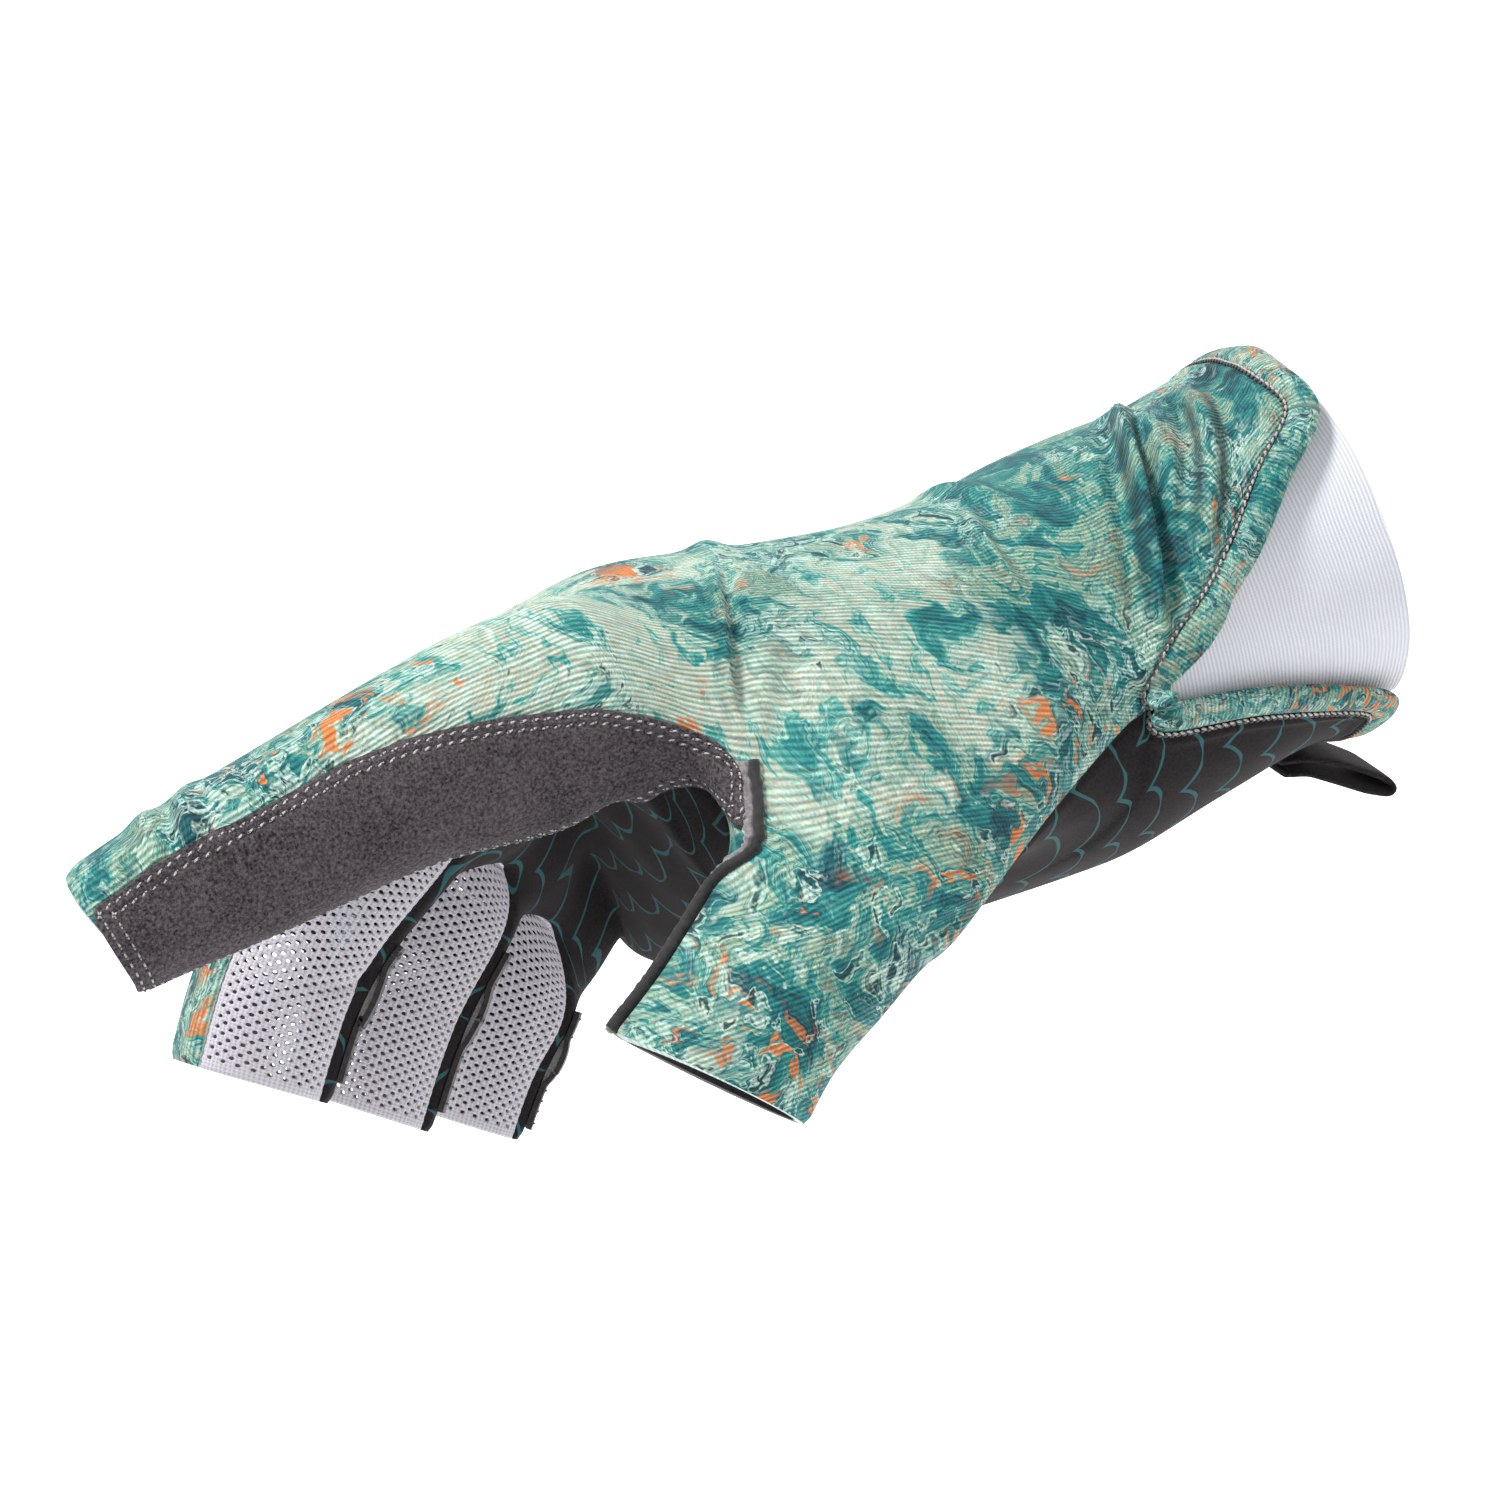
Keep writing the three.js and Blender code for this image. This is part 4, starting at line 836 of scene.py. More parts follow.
    # yarn by yarn unevenness, drawn out along the ribs
    drawn = vectors(tree, "MULTIPLY", uv, (1.6, 0.28, 1))
    yarns = cloud(tree, drawn, 1.0, 3.0, 8.0, 0.7)
    light = add(tree, "ShaderNodeMapRange", {"Value": yarns, 1: 0.3, 2: 0.7, 3: 0.66, 4: 1.3}).outputs[0]
    colour = mixed(tree, 1.0, colour, light, "MULTIPLY")
    ribs, courses = knit_ribs(tree, uv, rib, course)
    # painted shade in the grooves between the ribs
    shade = add(tree, "ShaderNodeMapRange", {"Value": ribs, 1: -1.0, 2: 0.6, 3: 0.57, 4: 1.0}).outputs[0]
    colour = mixed(tree, 1.0, colour, shade, "MULTIPLY")
    # painted shade: the pinched sides of a ridge are drawn darker, because they are finer than the mesh
    pinched = add(tree, "ShaderNodeAttribute", attribute_name="painted_crease_shade").outputs["Fac"]
    colour = mixed(tree, product(tree, pinched, 0.75), colour, linear("#0d2a30"))
    lint = add(tree, "ShaderNodeTexNoise", {"Vector": grain, "Scale": 2400.0, "Detail": 2.0})
    height = maths(tree, "ADD", maths(tree, "MULTIPLY_ADD", courses, 0.35, ribs), lint.outputs["Fac"])
    bump = add(tree, "ShaderNodeBump", {"Strength": 0.6, "Distance": 0.00012, "Height": height})
    finished(tree, shader, colour, bump, {
        "Roughness": 0.82, "Sheen Weight": 0.08, "Sheen Roughness": 0.5, "Specular IOR Level": 0.25})
    return material


def suede(name, light, dark, scales=False):
    """Split microfibre suede: a short matt nap, with soft patches of caught light painted into its colour.
    """
    material, tree, shader = new_material(name)
    uv = add(tree, "ShaderNodeUVMap", uv_map="cloth").outputs[0]
    grain = add(tree, "ShaderNodeTexCoord").outputs["Object"]
    nap = add(tree, "ShaderNodeTexNoise",
              {"Vector": grain, "Scale": 2300.0, "Detail": 3.0, "Roughness": 0.75})
    brushed = add(tree, "ShaderNodeTexNoise", {"Vector": grain, "Scale": 130.0, "Detail": 4.0})
    fine = product(tree, nap.outputs["Fac"], 0.85)
    # painted sheen: broad soft patches of light caught by the nap, over the nap's own fine tone
    mottle = maths(tree, "MULTIPLY_ADD", brushed.outputs["Fac"], 0.15, fine)
    colour = stops(add(tree, "ShaderNodeValToRGB", {"Fac": mottle}), [(0.36, dark), (0.62, light)])
    height = nap.outputs["Fac"]
    if scales:
        line = scale_lines(tree, uv)
        colour = mixed(tree, line, colour, linear("#2a5155"))
        height = maths(tree, "MULTIPLY_ADD", line, 0.8, height)
    bump = add(tree, "ShaderNodeBump", {"Strength": 0.5, "Distance": 0.00014, "Height": height})
    finished(tree, shader, colour, bump, {
        "Roughness": 0.92, "Sheen Weight": 0.28, "Sheen Roughness": 0.45, "Sheen Tint": linear("#6f696b"),
        "Specular IOR Level": 0.12})
    return material


# The palm's printed scales in millimetres: spacing, rise from row to row, radius and breadth of line
SCALE_WIDTH = 11.5
SCALE_RISE = 6.8
SCALE_RADIUS = 7.2
SCALE_LINE = 0.62


def scale_lines(tree, uv):
    """Overlapping round scales in rows: 1 on their printed outlines and 0 between."""
    split = add(tree, "ShaderNodeSeparateXYZ", {0: uv})
    drift = add(tree, "ShaderNodeTexNoise", {"Vector": uv, "Scale": 0.05, "Detail": 1.0})
    x = maths(tree, "MULTIPLY_ADD", drift.outputs["Fac"], 2.0, split.outputs[0])
    y = maths(tree, "SUBTRACT", drift.outputs["Fac"], split.outputs[1])
    row = maths(tree, "FLOOR", maths(tree, "DIVIDE", y, SCALE_RISE))
    mask = None
    for back in (2, 1, 0):
        here = maths(tree, "SUBTRACT", row, float(back))
        odd = maths(tree, "MULTIPLY", maths(tree, "FLOORED_MODULO", here, 2.0), SCALE_WIDTH / 2)
        shifted = maths(tree, "ADD", x, odd)
        inside = maths(tree, "FLOORED_MODULO", shifted, SCALE_WIDTH)
        inside = maths(tree, "SUBTRACT", inside, SCALE_WIDTH / 2)
        rise = maths(tree, "SUBTRACT", y, product(tree, here, SCALE_RISE))
        square = maths(tree, "ADD", product(tree, inside, inside), product(tree, rise, rise))
        far = maths(tree, "SQRT", square)
        off = maths(tree, "ABSOLUTE", maths(tree, "SUBTRACT", far, SCALE_RADIUS - SCALE_LINE / 2))
        line = add(tree, "ShaderNodeMapRange", {
            "Value": off, 1: SCALE_LINE * 0.42, 2: SCALE_LINE * 0.58, 3: 1.0, 4: 0.0}).outputs[0]
        covers = maths(tree, "LESS_THAN", far, SCALE_RADIUS)
        if mask is None:
            mask = maths(tree, "MULTIPLY", line, covers)
        else:
            kept = product(tree, mask, rest(tree, covers))
            mask = maths(tree, "MULTIPLY_ADD", line, covers, kept)
    return mask


def plain_knit(name, light, dark, rib, course, depth, contrast):
    """White polyester knit: soft, slightly see-through yarn with close ribs."""
    material, tree, shader = new_material(name)
    uv = add(tree, "ShaderNodeUVMap", uv_map="cloth").outputs[0]
    ribs, courses = knit_ribs(tree, uv, rib, course)
    height = maths(tree, "MULTIPLY_ADD", courses, contrast, ribs)
    # painted shade and light: the knit is drawn darker in its grooves and lighter on its raised yarns
    lit = maths(tree, "MULTIPLY_ADD", height, 0.3, 0.6)
    colour = stops(add(tree, "ShaderNodeValToRGB", {"Fac": lit}), [(0.1, dark), (0.8, light)])
    bump = add(tree, "ShaderNodeBump", {"Strength": 0.6, "Distance": depth, "Height": height})
    finished(tree, shader, colour, bump, {
        "Roughness": 0.8, "Sheen Weight": 0.2, "Subsurface Weight": 0.12,
        "Subsurface Radius": (0.001, 0.001, 0.001), "Specular IOR Level": 0.2})
    return material


def yarn(name, light, dark, scale, roughness, sheen=0.2):
    """Spun polyester thread or tape: an even colour broken by its own fibres."""
    material, tree, shader = new_material(name)
    grain = add(tree, "ShaderNodeTexCoord").outputs["Object"]
    noise = add(tree, "ShaderNodeTexNoise",
                {"Vector": grain, "Scale": scale, "Detail": 3.0, "Roughness": 0.7}).outputs["Fac"]
    colour = stops(add(tree, "ShaderNodeValToRGB", {"Fac": noise}), [(0.35, dark), (0.65, light)])
    bump = add(tree, "ShaderNodeBump", {"Strength": 0.6, "Distance": 0.0001, "Height": noise})
    finished(tree, shader, colour, bump, {"Roughness": roughness, "Sheen Weight": sheen})
    return material


def satin(name):
    """Woven satin tape: long floats that give a soft streak of light across a dark ground."""
    material, tree, shader = new_material(name)
    uv = add(tree, "ShaderNodeUVMap", uv_map="cloth").outputs[0]
    weave = add(tree, "ShaderNodeTexWave",
                {"Vector": uv, "Scale": 0.9, "Distortion": 0.6, "Detail": 1.0}).outputs["Fac"]
    colour = stops(add(tree, "ShaderNodeValToRGB", {"Fac": weave}), [(0.1, "#18191c"), (0.9, "#292b30")])
    bump = add(tree, "ShaderNodeBump", {"Strength": 0.4, "Distance": 0.00008, "Height": weave})
    finished(tree, shader, colour, bump, {"Roughness": 0.48})
    return material


PRINTED = print_knit("Printed polyester knit", 0.62, 0.55, 0.56)
PRINTED_HEM = print_knit("Printed polyester knit, rolled hem", 0.6, 1.6, 0.545, 2.4, 0.09)
INSIDE_KNIT = plain_knit("Unprinted knit inside", "#cfe0dc", "#9fbdb8", 0.62, 0.55, 0.0001, 0.4)
PALM_SUEDE = suede("Microfibre suede with printed scales", "#221f21", "#100e10", scales=True)
TAB_SUEDE = suede("Dark microfibre suede", "#2f2b2e", "#181618")
GUARD_SUEDE = suede("Charcoal microfibre suede", "#5b5459", "#171517")
INSIDE_SUEDE = yarn("Suede's knitted inside", "#403b3e", "#2b282a", 900.0, 0.9)
# the perforated knit's inner face is a darker copy of the same knit: painted shade seen through the holes
MESH_INSIDE_PAINTED_SHADE = plain_knit(
    "Perforated knit's inner face in painted shade", "#6e6369", "#564d52", 0.62, 0.46, 0.00004, 0.8)
MESH_KNIT = plain_knit("Perforated polyester knit", "#c4c0c8", "#a5a1aa", 0.62, 0.46, 0.00004, 0.8)
GUSSET_KNIT = plain_knit("Fine ribbed stretch knit", "#d2d3d9", "#aeb1bc", 0.55, 0.4, 0.00008, 0.2)
THREAD = yarn("Pale polyester thread", "#c4c1be", "#7d7a79", 5000.0, 0.6)
DARK_THREAD = yarn("Dark polyester thread", "#55504f", "#2c292a", 3000.0, 0.7)
PIPING = yarn("Black cotton piping", "#262324", "#111011", 1500.0, 0.85)
FUZZ = yarn("Brushed suede edge", "#8a8587", "#585355", 1300.0, 0.95, 0.6)
SATIN = satin("Grey satin tape")
TAPE = yarn("Dark woven tape", "#3a3537", "#221f20", 1200.0, 0.85)


# Meshes

def mesh_object(name, points, polygons, materials, uv=None, marks=None, sharp=()):
    """A piece from points in millimetres, with its cloth places, face materials and sharp edges."""
    mesh = bpy.data.meshes.new(name)
    mesh.from_pydata((np.asarray(points) * MM).tolist(), [], [list(map(int, p)) for p in polygons])
    for material in materials:
        mesh.materials.append(material)
    mesh.polygons.foreach_set("use_smooth", [True] * len(mesh.polygons))
    if marks is not None:
        mesh.polygons.foreach_set("material_index", np.asarray(marks, dtype=np.int32))
    if uv is not None:
        layer = mesh.uv_layers.new(name="cloth")
        corner = np.zeros(len(mesh.loops), dtype=np.int32)
        mesh.loops.foreach_get("vertex_index", corner)
        layer.data.foreach_set("uv", np.asarray(uv, dtype=np.float32)[corner].ravel())
    if len(sharp):
        wanted = {tuple(sorted(map(int, e))) for e in sharp}
        for edge in mesh.edges:
            if tuple(sorted(edge.vertices)) in wanted:
                edge.use_edge_sharp = True
    mesh.update()
    made = bpy.data.objects.new(name, mesh)
    bpy.context.scene.collection.objects.link(made)
    return made


def outward(obj):
    """Turns a closed piece's faces outwards if they point in."""
    mesh = obj.data
    place = np.zeros(len(mesh.vertices) * 3)
    mesh.vertices.foreach_get("co", place)
    place = place.reshape(-1, 3)
    volume = 0.0
    for polygon in mesh.polygons:
        ids = list(polygon.vertices)
        for b, c in zip(ids[1:], ids[2:]):
            volume += place[ids[0]] @ np.cross(place[b], place[c])
    if volume < 0:
        mesh.flip_normals()
    return obj


def rim_distance(part_faces, ids):
    """How far each point of a panel is from the panel's own rim."""
    edges, _, count = relations(part_faces)
    rim = np.unique(edges[count == 1])
    near = BVHTree.FromPolygons([Vector(places[i]) for i in rim], [[k, k, k] for k in range(len(rim))])
    return np.array([near.find_nearest(Vector(places[i]))[3] for i in ids])


# A panel's edges in millimetres: how deep and how broadly a seam pinches the cloth, how far the panel
# keeps off the seam's middle, where the cuff's rim ends that, and the height, place and breadth of the
# ridge beside the cuff's hem
SEAM_DEPTH = 0.45
SEAM_BREADTH = 0.8
PANEL_INSET = 0.06
CUFF_CLEAR = 1.0
CUFF_RIDGE = (0.5, 1.5, 0.75)


def cloth_panel(name, panel, materials, across_column):
    """One panel's wall under the smooth surface, pinched along its seams."""
    part = faces[panels == panel]
    ids = np.unique(part)
    order = {int(i): k for k, i in enumerate(ids)}
    edges, _, count = relations(part)
    rim_pairs = []
    wanted = {tuple(e) for e in edges[count == 1].tolist()}
    pull = {}
    for face in part.tolist():
        middle = places[face].mean(axis=0)
        for k in range(4):
            a, b = face[k], face[(k + 1) % 4]
            if tuple(sorted((a, b))) not in wanted:
                continue
            rim_pairs.append((a, b))
            along = unit(places[b] - places[a])
            for i in (a, b):
                inward = middle - places[i]
                pull.setdefault(i, []).append(unit(inward - along * (inward @ along)))
    off = rim_distance(part, ids)
    cuff = [Vector(places[i]) for i in cuff_rim]
    cuff_tree = BVHTree.FromPolygons(cuff, [[k, k, k] for k in range(len(cuff))])
    from_cuff = np.array([cuff_tree.find_nearest(Vector(places[i]))[3] for i in ids])
    drop = SEAM_DEPTH * np.exp(-(off / SEAM_BREADTH) ** 2) * (from_cuff > CUFF_CLEAR)
    high, far, broad = CUFF_RIDGE
    ridge = high * np.exp(-((from_cuff - far) / broad) ** 2)
    outer = places[ids] + normals[ids] * (ridge - drop)[:, None]
    for i, ways in pull.items():
        mean = np.mean(ways, axis=0)
        outer[order[i]] += mean * PANEL_INSET / max(mean @ mean, 0.4)
    inner = outer - normals[ids] * CLOTH
    size = len(ids)
    quads = [[order[i] for i in face] for face in part.tolist()]
    polygons = quads + [[size + i for i in reversed(q)] for q in quads]
    marks = [0] * len(quads) + [1] * len(quads)
    for a, b in rim_pairs:
        i, k = order[a], order[b]
        polygons.append([k, i, size + i, size + k])
        marks.append(1 if len(materials) > 1 else 0)
    uv = net_cloth[ids][:, across_column:across_column + 2]
    sharp = [(order[a], order[b]) for a, b in rim_pairs]
    sharp += [(size + a, size + b) for a, b in sharp]
    made = mesh_object(name, np.concatenate([outer, inner]), polygons, materials,
                       np.concatenate([uv, uv]), marks, sharp)
    # painted shade beside the fine ridges, kept on the points for the print to darken with
    shade = made.data.attributes.new("painted_crease_shade", "FLOAT", "POINT")
    shade.data.foreach_set("value", np.tile(crease_shade[ids], 2).astype(np.float32))
    return made


def sheet_between(name, outer, inner, materials, uv, marks=None):
    """A closed sheet between two grids of points, each rows by columns by three."""
    rows, columns = outer.shape[:2]
    size = rows * columns
    ids = np.arange(size).reshape(rows, columns)
    quads = np.stack([ids[:-1, :-1], ids[:-1, 1:], ids[1:, 1:], ids[1:, :-1]], axis=2).reshape(-1, 4)
    polygons = quads.tolist() + (quads[:, ::-1] + size).tolist()
    rim = [*ids[0, :], *ids[1:, -1], *ids[-1, -2::-1], *ids[-2:0:-1, 0]]
    sharp = []
    for a, b in zip(rim, rim[1:] + rim[:1]):
        polygons.append([b, a, size + a, size + b])
        sharp += [(a, b), (size + a, size + b)]
    flat = [0] * (rows - 1) * (columns - 1) if marks is None else list(np.asarray(marks).ravel())
    kinds = flat + flat + [flat[0]] * len(rim)
    points = np.concatenate([outer.reshape(-1, 3), inner.reshape(-1, 3)])
    laid = uv.reshape(-1, 2)
    made = mesh_object(name, points, polygons, materials, np.concatenate([laid, laid]), kinds, sharp)
    return outward(made)


def sampled(grid, s, t):
    """A grid's value at shares s of its rows and t of its columns."""
    rows, columns = grid.shape[:2]
    x = np.clip(np.asarray(s, float), 0, 1) * (rows - 1)
    y = np.clip(np.asarray(t, float), 0, 1) * (columns - 1)
    i, k = np.minimum(x.astype(int), rows - 2), np.minimum(y.astype(int), columns - 2)
    fx, fy = (x - i)[..., None], (y - k)[..., None]
    top = grid[i, k] * (1 - fy) + grid[i, k + 1] * fy
    low = grid[i + 1, k] * (1 - fy) + grid[i + 1, k + 1] * fy
    return top * (1 - fx) + low * fx


def tube_through(name, rings, loop, materials, uv=None, marks=None):
    """A closed tube through rings of points."""
    rings = np.asarray(rings)
    count, sides = rings.shape[:2]
    polygons = []
    for i in range(count if loop else count - 1):
        j = (i + 1) % count
        for k in range(sides):
            k2 = (k + 1) % sides
            polygons.append([i * sides + k, i * sides + k2, j * sides + k2, j * sides + k])
    if not loop:
        polygons += [list(range(sides))[::-1], list(range((count - 1) * sides, count * sides))]
    made = mesh_object(name, rings.reshape(-1, 3), polygons, materials,
                       None if uv is None else np.asarray(uv).reshape(-1, 2), marks)
    return outward(made)


# Geometry Nodes: stitches along a path, and perforations

def node_tree(name, sizes):
    """A geometry tree with named size inputs, its group input and output."""
    tree = bpy.data.node_groups.new(name, "GeometryNodeTree")
    tree.interface.new_socket("Geometry", in_out="INPUT", socket_type="NodeSocketGeometry")
    for label, (kind, value) in sizes.items():
        socket = tree.interface.new_socket(label, in_out="INPUT", socket_type=kind)
        if value is not None:
            socket.default_value = value
    tree.interface.new_socket("Geometry", in_out="OUTPUT", socket_type="NodeSocketGeometry")
    return tree, tree.nodes.new("NodeGroupInput"), tree.nodes.new("NodeGroupOutput")


def settled(obj, tree=None, values=None, finish=()):
    """Applies a geometry tree and then plain modifiers, and leaves a plain mesh."""
    if tree is not None:
        modifier = obj.modifiers.new("shape", "NODES")
        modifier.node_group = tree
        for item in tree.interface.items_tree:
            if item.in_out == "INPUT" and item.name in (values or {}):
                modifier[item.identifier] = values[item.name]
    for kind, settings in finish:
        modifier = obj.modifiers.new(kind.lower(), kind)
        for name, value in settings.items():
            setattr(modifier, name, value)
    shown = obj.evaluated_get(bpy.context.evaluated_depsgraph_get())
    mesh = bpy.data.meshes.new_from_object(shown)
    obj.modifiers.clear()
    old = obj.data
    obj.data = mesh
    bpy.data.meshes.remove(old)
    return obj


def stitch_tree():
    tree, given, out = node_tree("Stitches along a path", {
        "Pitch": ("NodeSocketFloat", 0.0016), "Length": ("NodeSocketFloat", 0.0011),
        "Thickness": ("NodeSocketFloat", 0.0004), "Slant": ("NodeSocketFloat", 0.0),
        "Seed": ("NodeSocketInt", 4), "Material": ("NodeSocketMaterial", None)})
    line = add(tree, "GeometryNodeMeshToCurve", {0: given.outputs["Geometry"]})
    spaced = add(tree, "GeometryNodeResampleCurve", {
        "Curve": line.outputs[0], "Length": given.outputs["Pitch"]}, mode="LENGTH")
    tangent = add(tree, "GeometryNodeInputTangent")
    loose = add(tree, "FunctionNodeRandomValue", {
        0: (-0.1, -0.1, -0.1), 1: (0.1, 0.1, 0.1), "Seed": given.outputs["Seed"]}, data_type="FLOAT_VECTOR")
    leaning = vectors(tree, "ADD", tangent.outputs[0], loose.outputs[0])
    lift = add(tree, "ShaderNodeCombineXYZ", {2: given.outputs["Slant"]})
    slanted = vectors(tree, "ADD", leaning, lift.outputs[0])
    turn = add(tree, "FunctionNodeAlignRotationToVector", {"Vector": slanted}, axis="Z")
    ball = add(tree, "GeometryNodeMeshUVSphere", {"Segments": 8, "Rings": 6, "Radius": 0.5})
    size = add(tree, "ShaderNodeCombineXYZ", {
        0: given.outputs["Thickness"], 1: given.outputs["Thickness"], 2: given.outputs["Length"]})
    bead = add(tree, "GeometryNodeTransform", {"Geometry": ball.outputs[0], "Scale": size.outputs[0]})
    row = add(tree, "GeometryNodeInstanceOnPoints", {
        "Points": spaced.outputs[0], "Instance": bead.outputs[0], "Rotation": turn.outputs[0]})
    real = add(tree, "GeometryNodeRealizeInstances", {0: row.outputs[0]})
    soft = add(tree, "GeometryNodeSetShadeSmooth", {0: real.outputs[0]})
    done = add(tree, "GeometryNodeSetMaterial", {0: soft.outputs[0], "Material": given.outputs["Material"]})
    tree.links.new(done.outputs[0], out.inputs[0])
    return tree


STITCHES = stitch_tree()


def stitched(name, paths, pitch, length, thickness, material, slant=0.0):
    """Thread laid in stitches along paths of points in millimetres."""
    points, pairs = [], []
    for path in paths:
        start = len(points)
        points += [list(p) for p in path]
        pairs += [(start + i, start + i + 1) for i in range(len(path) - 1)]
    mesh = bpy.data.meshes.new(name)
    mesh.from_pydata((np.array(points) * MM).tolist(), pairs, [])
    made = bpy.data.objects.new(name, mesh)
    bpy.context.scene.collection.objects.link(made)
    settled(made, STITCHES, {"Pitch": pitch * MM, "Length": length * MM, "Thickness": thickness * MM,
                             "Slant": slant, "Seed": len(name), "Material": material})
    return made


def perforation_tree():
    tree, given, out = node_tree("Perforations", {
        "Open share": ("NodeSocketFloat", 0.55), "Material": ("NodeSocketMaterial", None)})
    marked = add(tree, "GeometryNodeInputNamedAttribute", {0: "hole"}, data_type="BOOLEAN")
    raised = add(tree, "GeometryNodeExtrudeMesh", {
        "Mesh": given.outputs["Geometry"], "Selection": marked.outputs[0], "Offset Scale": 0.0,
        "Individual": True}, mode="FACES")
    shrunk = add(tree, "GeometryNodeScaleElements", {
        "Geometry": raised.outputs[0], "Selection": raised.outputs[1], "Scale": given.outputs["Open share"]},
        domain="FACE")
    opened = add(tree, "GeometryNodeDeleteGeometry", {
        0: shrunk.outputs[0], "Selection": raised.outputs[1]}, domain="FACE")
    real = add(tree, "GeometryNodeRealizeInstances", {0: opened.outputs[0]})
    done = add(tree, "GeometryNodeSetMaterial", {0: real.outputs[0], "Material": given.outputs["Material"]})
    tree.links.new(done.outputs[0], out.inputs[0])
    return tree


PERFORATIONS = perforation_tree()


def keep(piece, node):
    """Attaches a piece to the root body and hides the CAD part that it stands for."""
    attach(piece, "root")
    if node:
        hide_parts(node)
    return piece


# The photograph's camera, its lights, the floor and a lit white sheet behind the glove

def make_camera():
    data = bpy.data.cameras.new("Camera")
    data.lens, data.sensor_width = SENSOR * FOCAL_PIXELS / PHOTO_SIDE, SENSOR
    data.clip_start, data.clip_end = 0.01, 20
    camera = bpy.data.objects.new("Camera", data)
    turn = Matrix((right, up, back)).transposed().to_4x4()
    camera.matrix_world = Matrix.Translation(VIEW_TARGET + back * VIEW_DISTANCE) @ turn
    bpy.context.scene.collection.objects.link(camera)
    bpy.context.scene.camera = camera


make_camera()


def soft_light(name, aside, above, ahead, power, size):
    """A round light that faces the glove, placed in metres from it as the camera sees it."""
    data = bpy.data.lights.new(name, "AREA")
    data.shape, data.size, data.energy = "DISK", size, power
    light = bpy.data.objects.new(name, data)
    light.location = VIEW_TARGET + right * aside + up * above + back * ahead
    light.rotation_euler = (light.location - VIEW_TARGET).to_track_quat("Z", "Y").to_euler()
    bpy.context.scene.collection.objects.link(light)


soft_light("Key", aside=-0.6, above=1.0, ahead=0.45, power=21, size=0.28)
soft_light("Fill", aside=0.5, above=0.1, ahead=1.1, power=4.0, size=0.9)
bpy.context.scene.view_settings.view_transform = "Standard"
world = bpy.data.worlds.new("Studio")
world.use_nodes = True
sky = world.node_tree.nodes["Background"]
sky.inputs["Color"].default_value = (1, 1, 1, 1)
sky.inputs["Strength"].default_value = 0.55
bpy.context.scene.world = world

FLOOR_HEIGHT = -0.3
FLOOR_HALF = 30
SHEET_BEHIND = 0.4
SHEET_HALF = 0.4


def staged_square(name, corners, material):
    """A plain square that belongs to the studio and not to the glove."""
    mesh = bpy.data.meshes.new(name)
    mesh.from_pydata(corners, [], [(0, 1, 2, 3)])
    mesh.materials.append(material)
    square = bpy.data.objects.new(name, mesh)
    bpy.context.scene.collection.objects.link(square)


floor_material, _, floor_shader = new_material("Pale studio floor")
floor_shader.inputs["Base Color"].default_value = linear("#fdfdfd")
floor_shader.inputs["Roughness"].default_value = 0.9
sheet_material, _, sheet_shader = new_material("Back-lit white sheet")
sheet_shader.inputs["Emission Color"].default_value = (1, 1, 1, 1)
sheet_shader.inputs["Emission Strength"].default_value = 1.0
CORNERS = ((-1, -1), (1, -1), (1, 1), (-1, 1))
staged_square("Floor", [(x * FLOOR_HALF, y * FLOOR_HALF, FLOOR_HEIGHT) for x, y in CORNERS], floor_material)
sheet_middle = VIEW_TARGET - back * SHEET_BEHIND
staged_square("Backdrop", [sheet_middle + right * x * SHEET_HALF + up * y * SHEET_HALF for x, y in CORNERS],
              sheet_material)

# The two main panels
back_cloth = cloth_panel("back_panel_cloth", "back", [PRINTED, INSIDE_KNIT], BACK_ACROSS)
palm_cloth = cloth_panel("palm_panel_cloth", "palm", [PALM_SUEDE, INSIDE_SUEDE], PALM_ACROSS)
keep(back_cloth, "back_panel")
keep(palm_cloth, "palm_panel")

# The perforated finger sides, each one strip from finger end to finger end over the web
HOLE_ALONG, HOLE_ACROSS = 0.64, 0.92
MESH_WALL = 0.7
MESH_DEPTH = 0.1
MESH_OPEN = 0.76
SCALLOP_INSET = 0.25
SCALLOP_DEPTH = 0.22


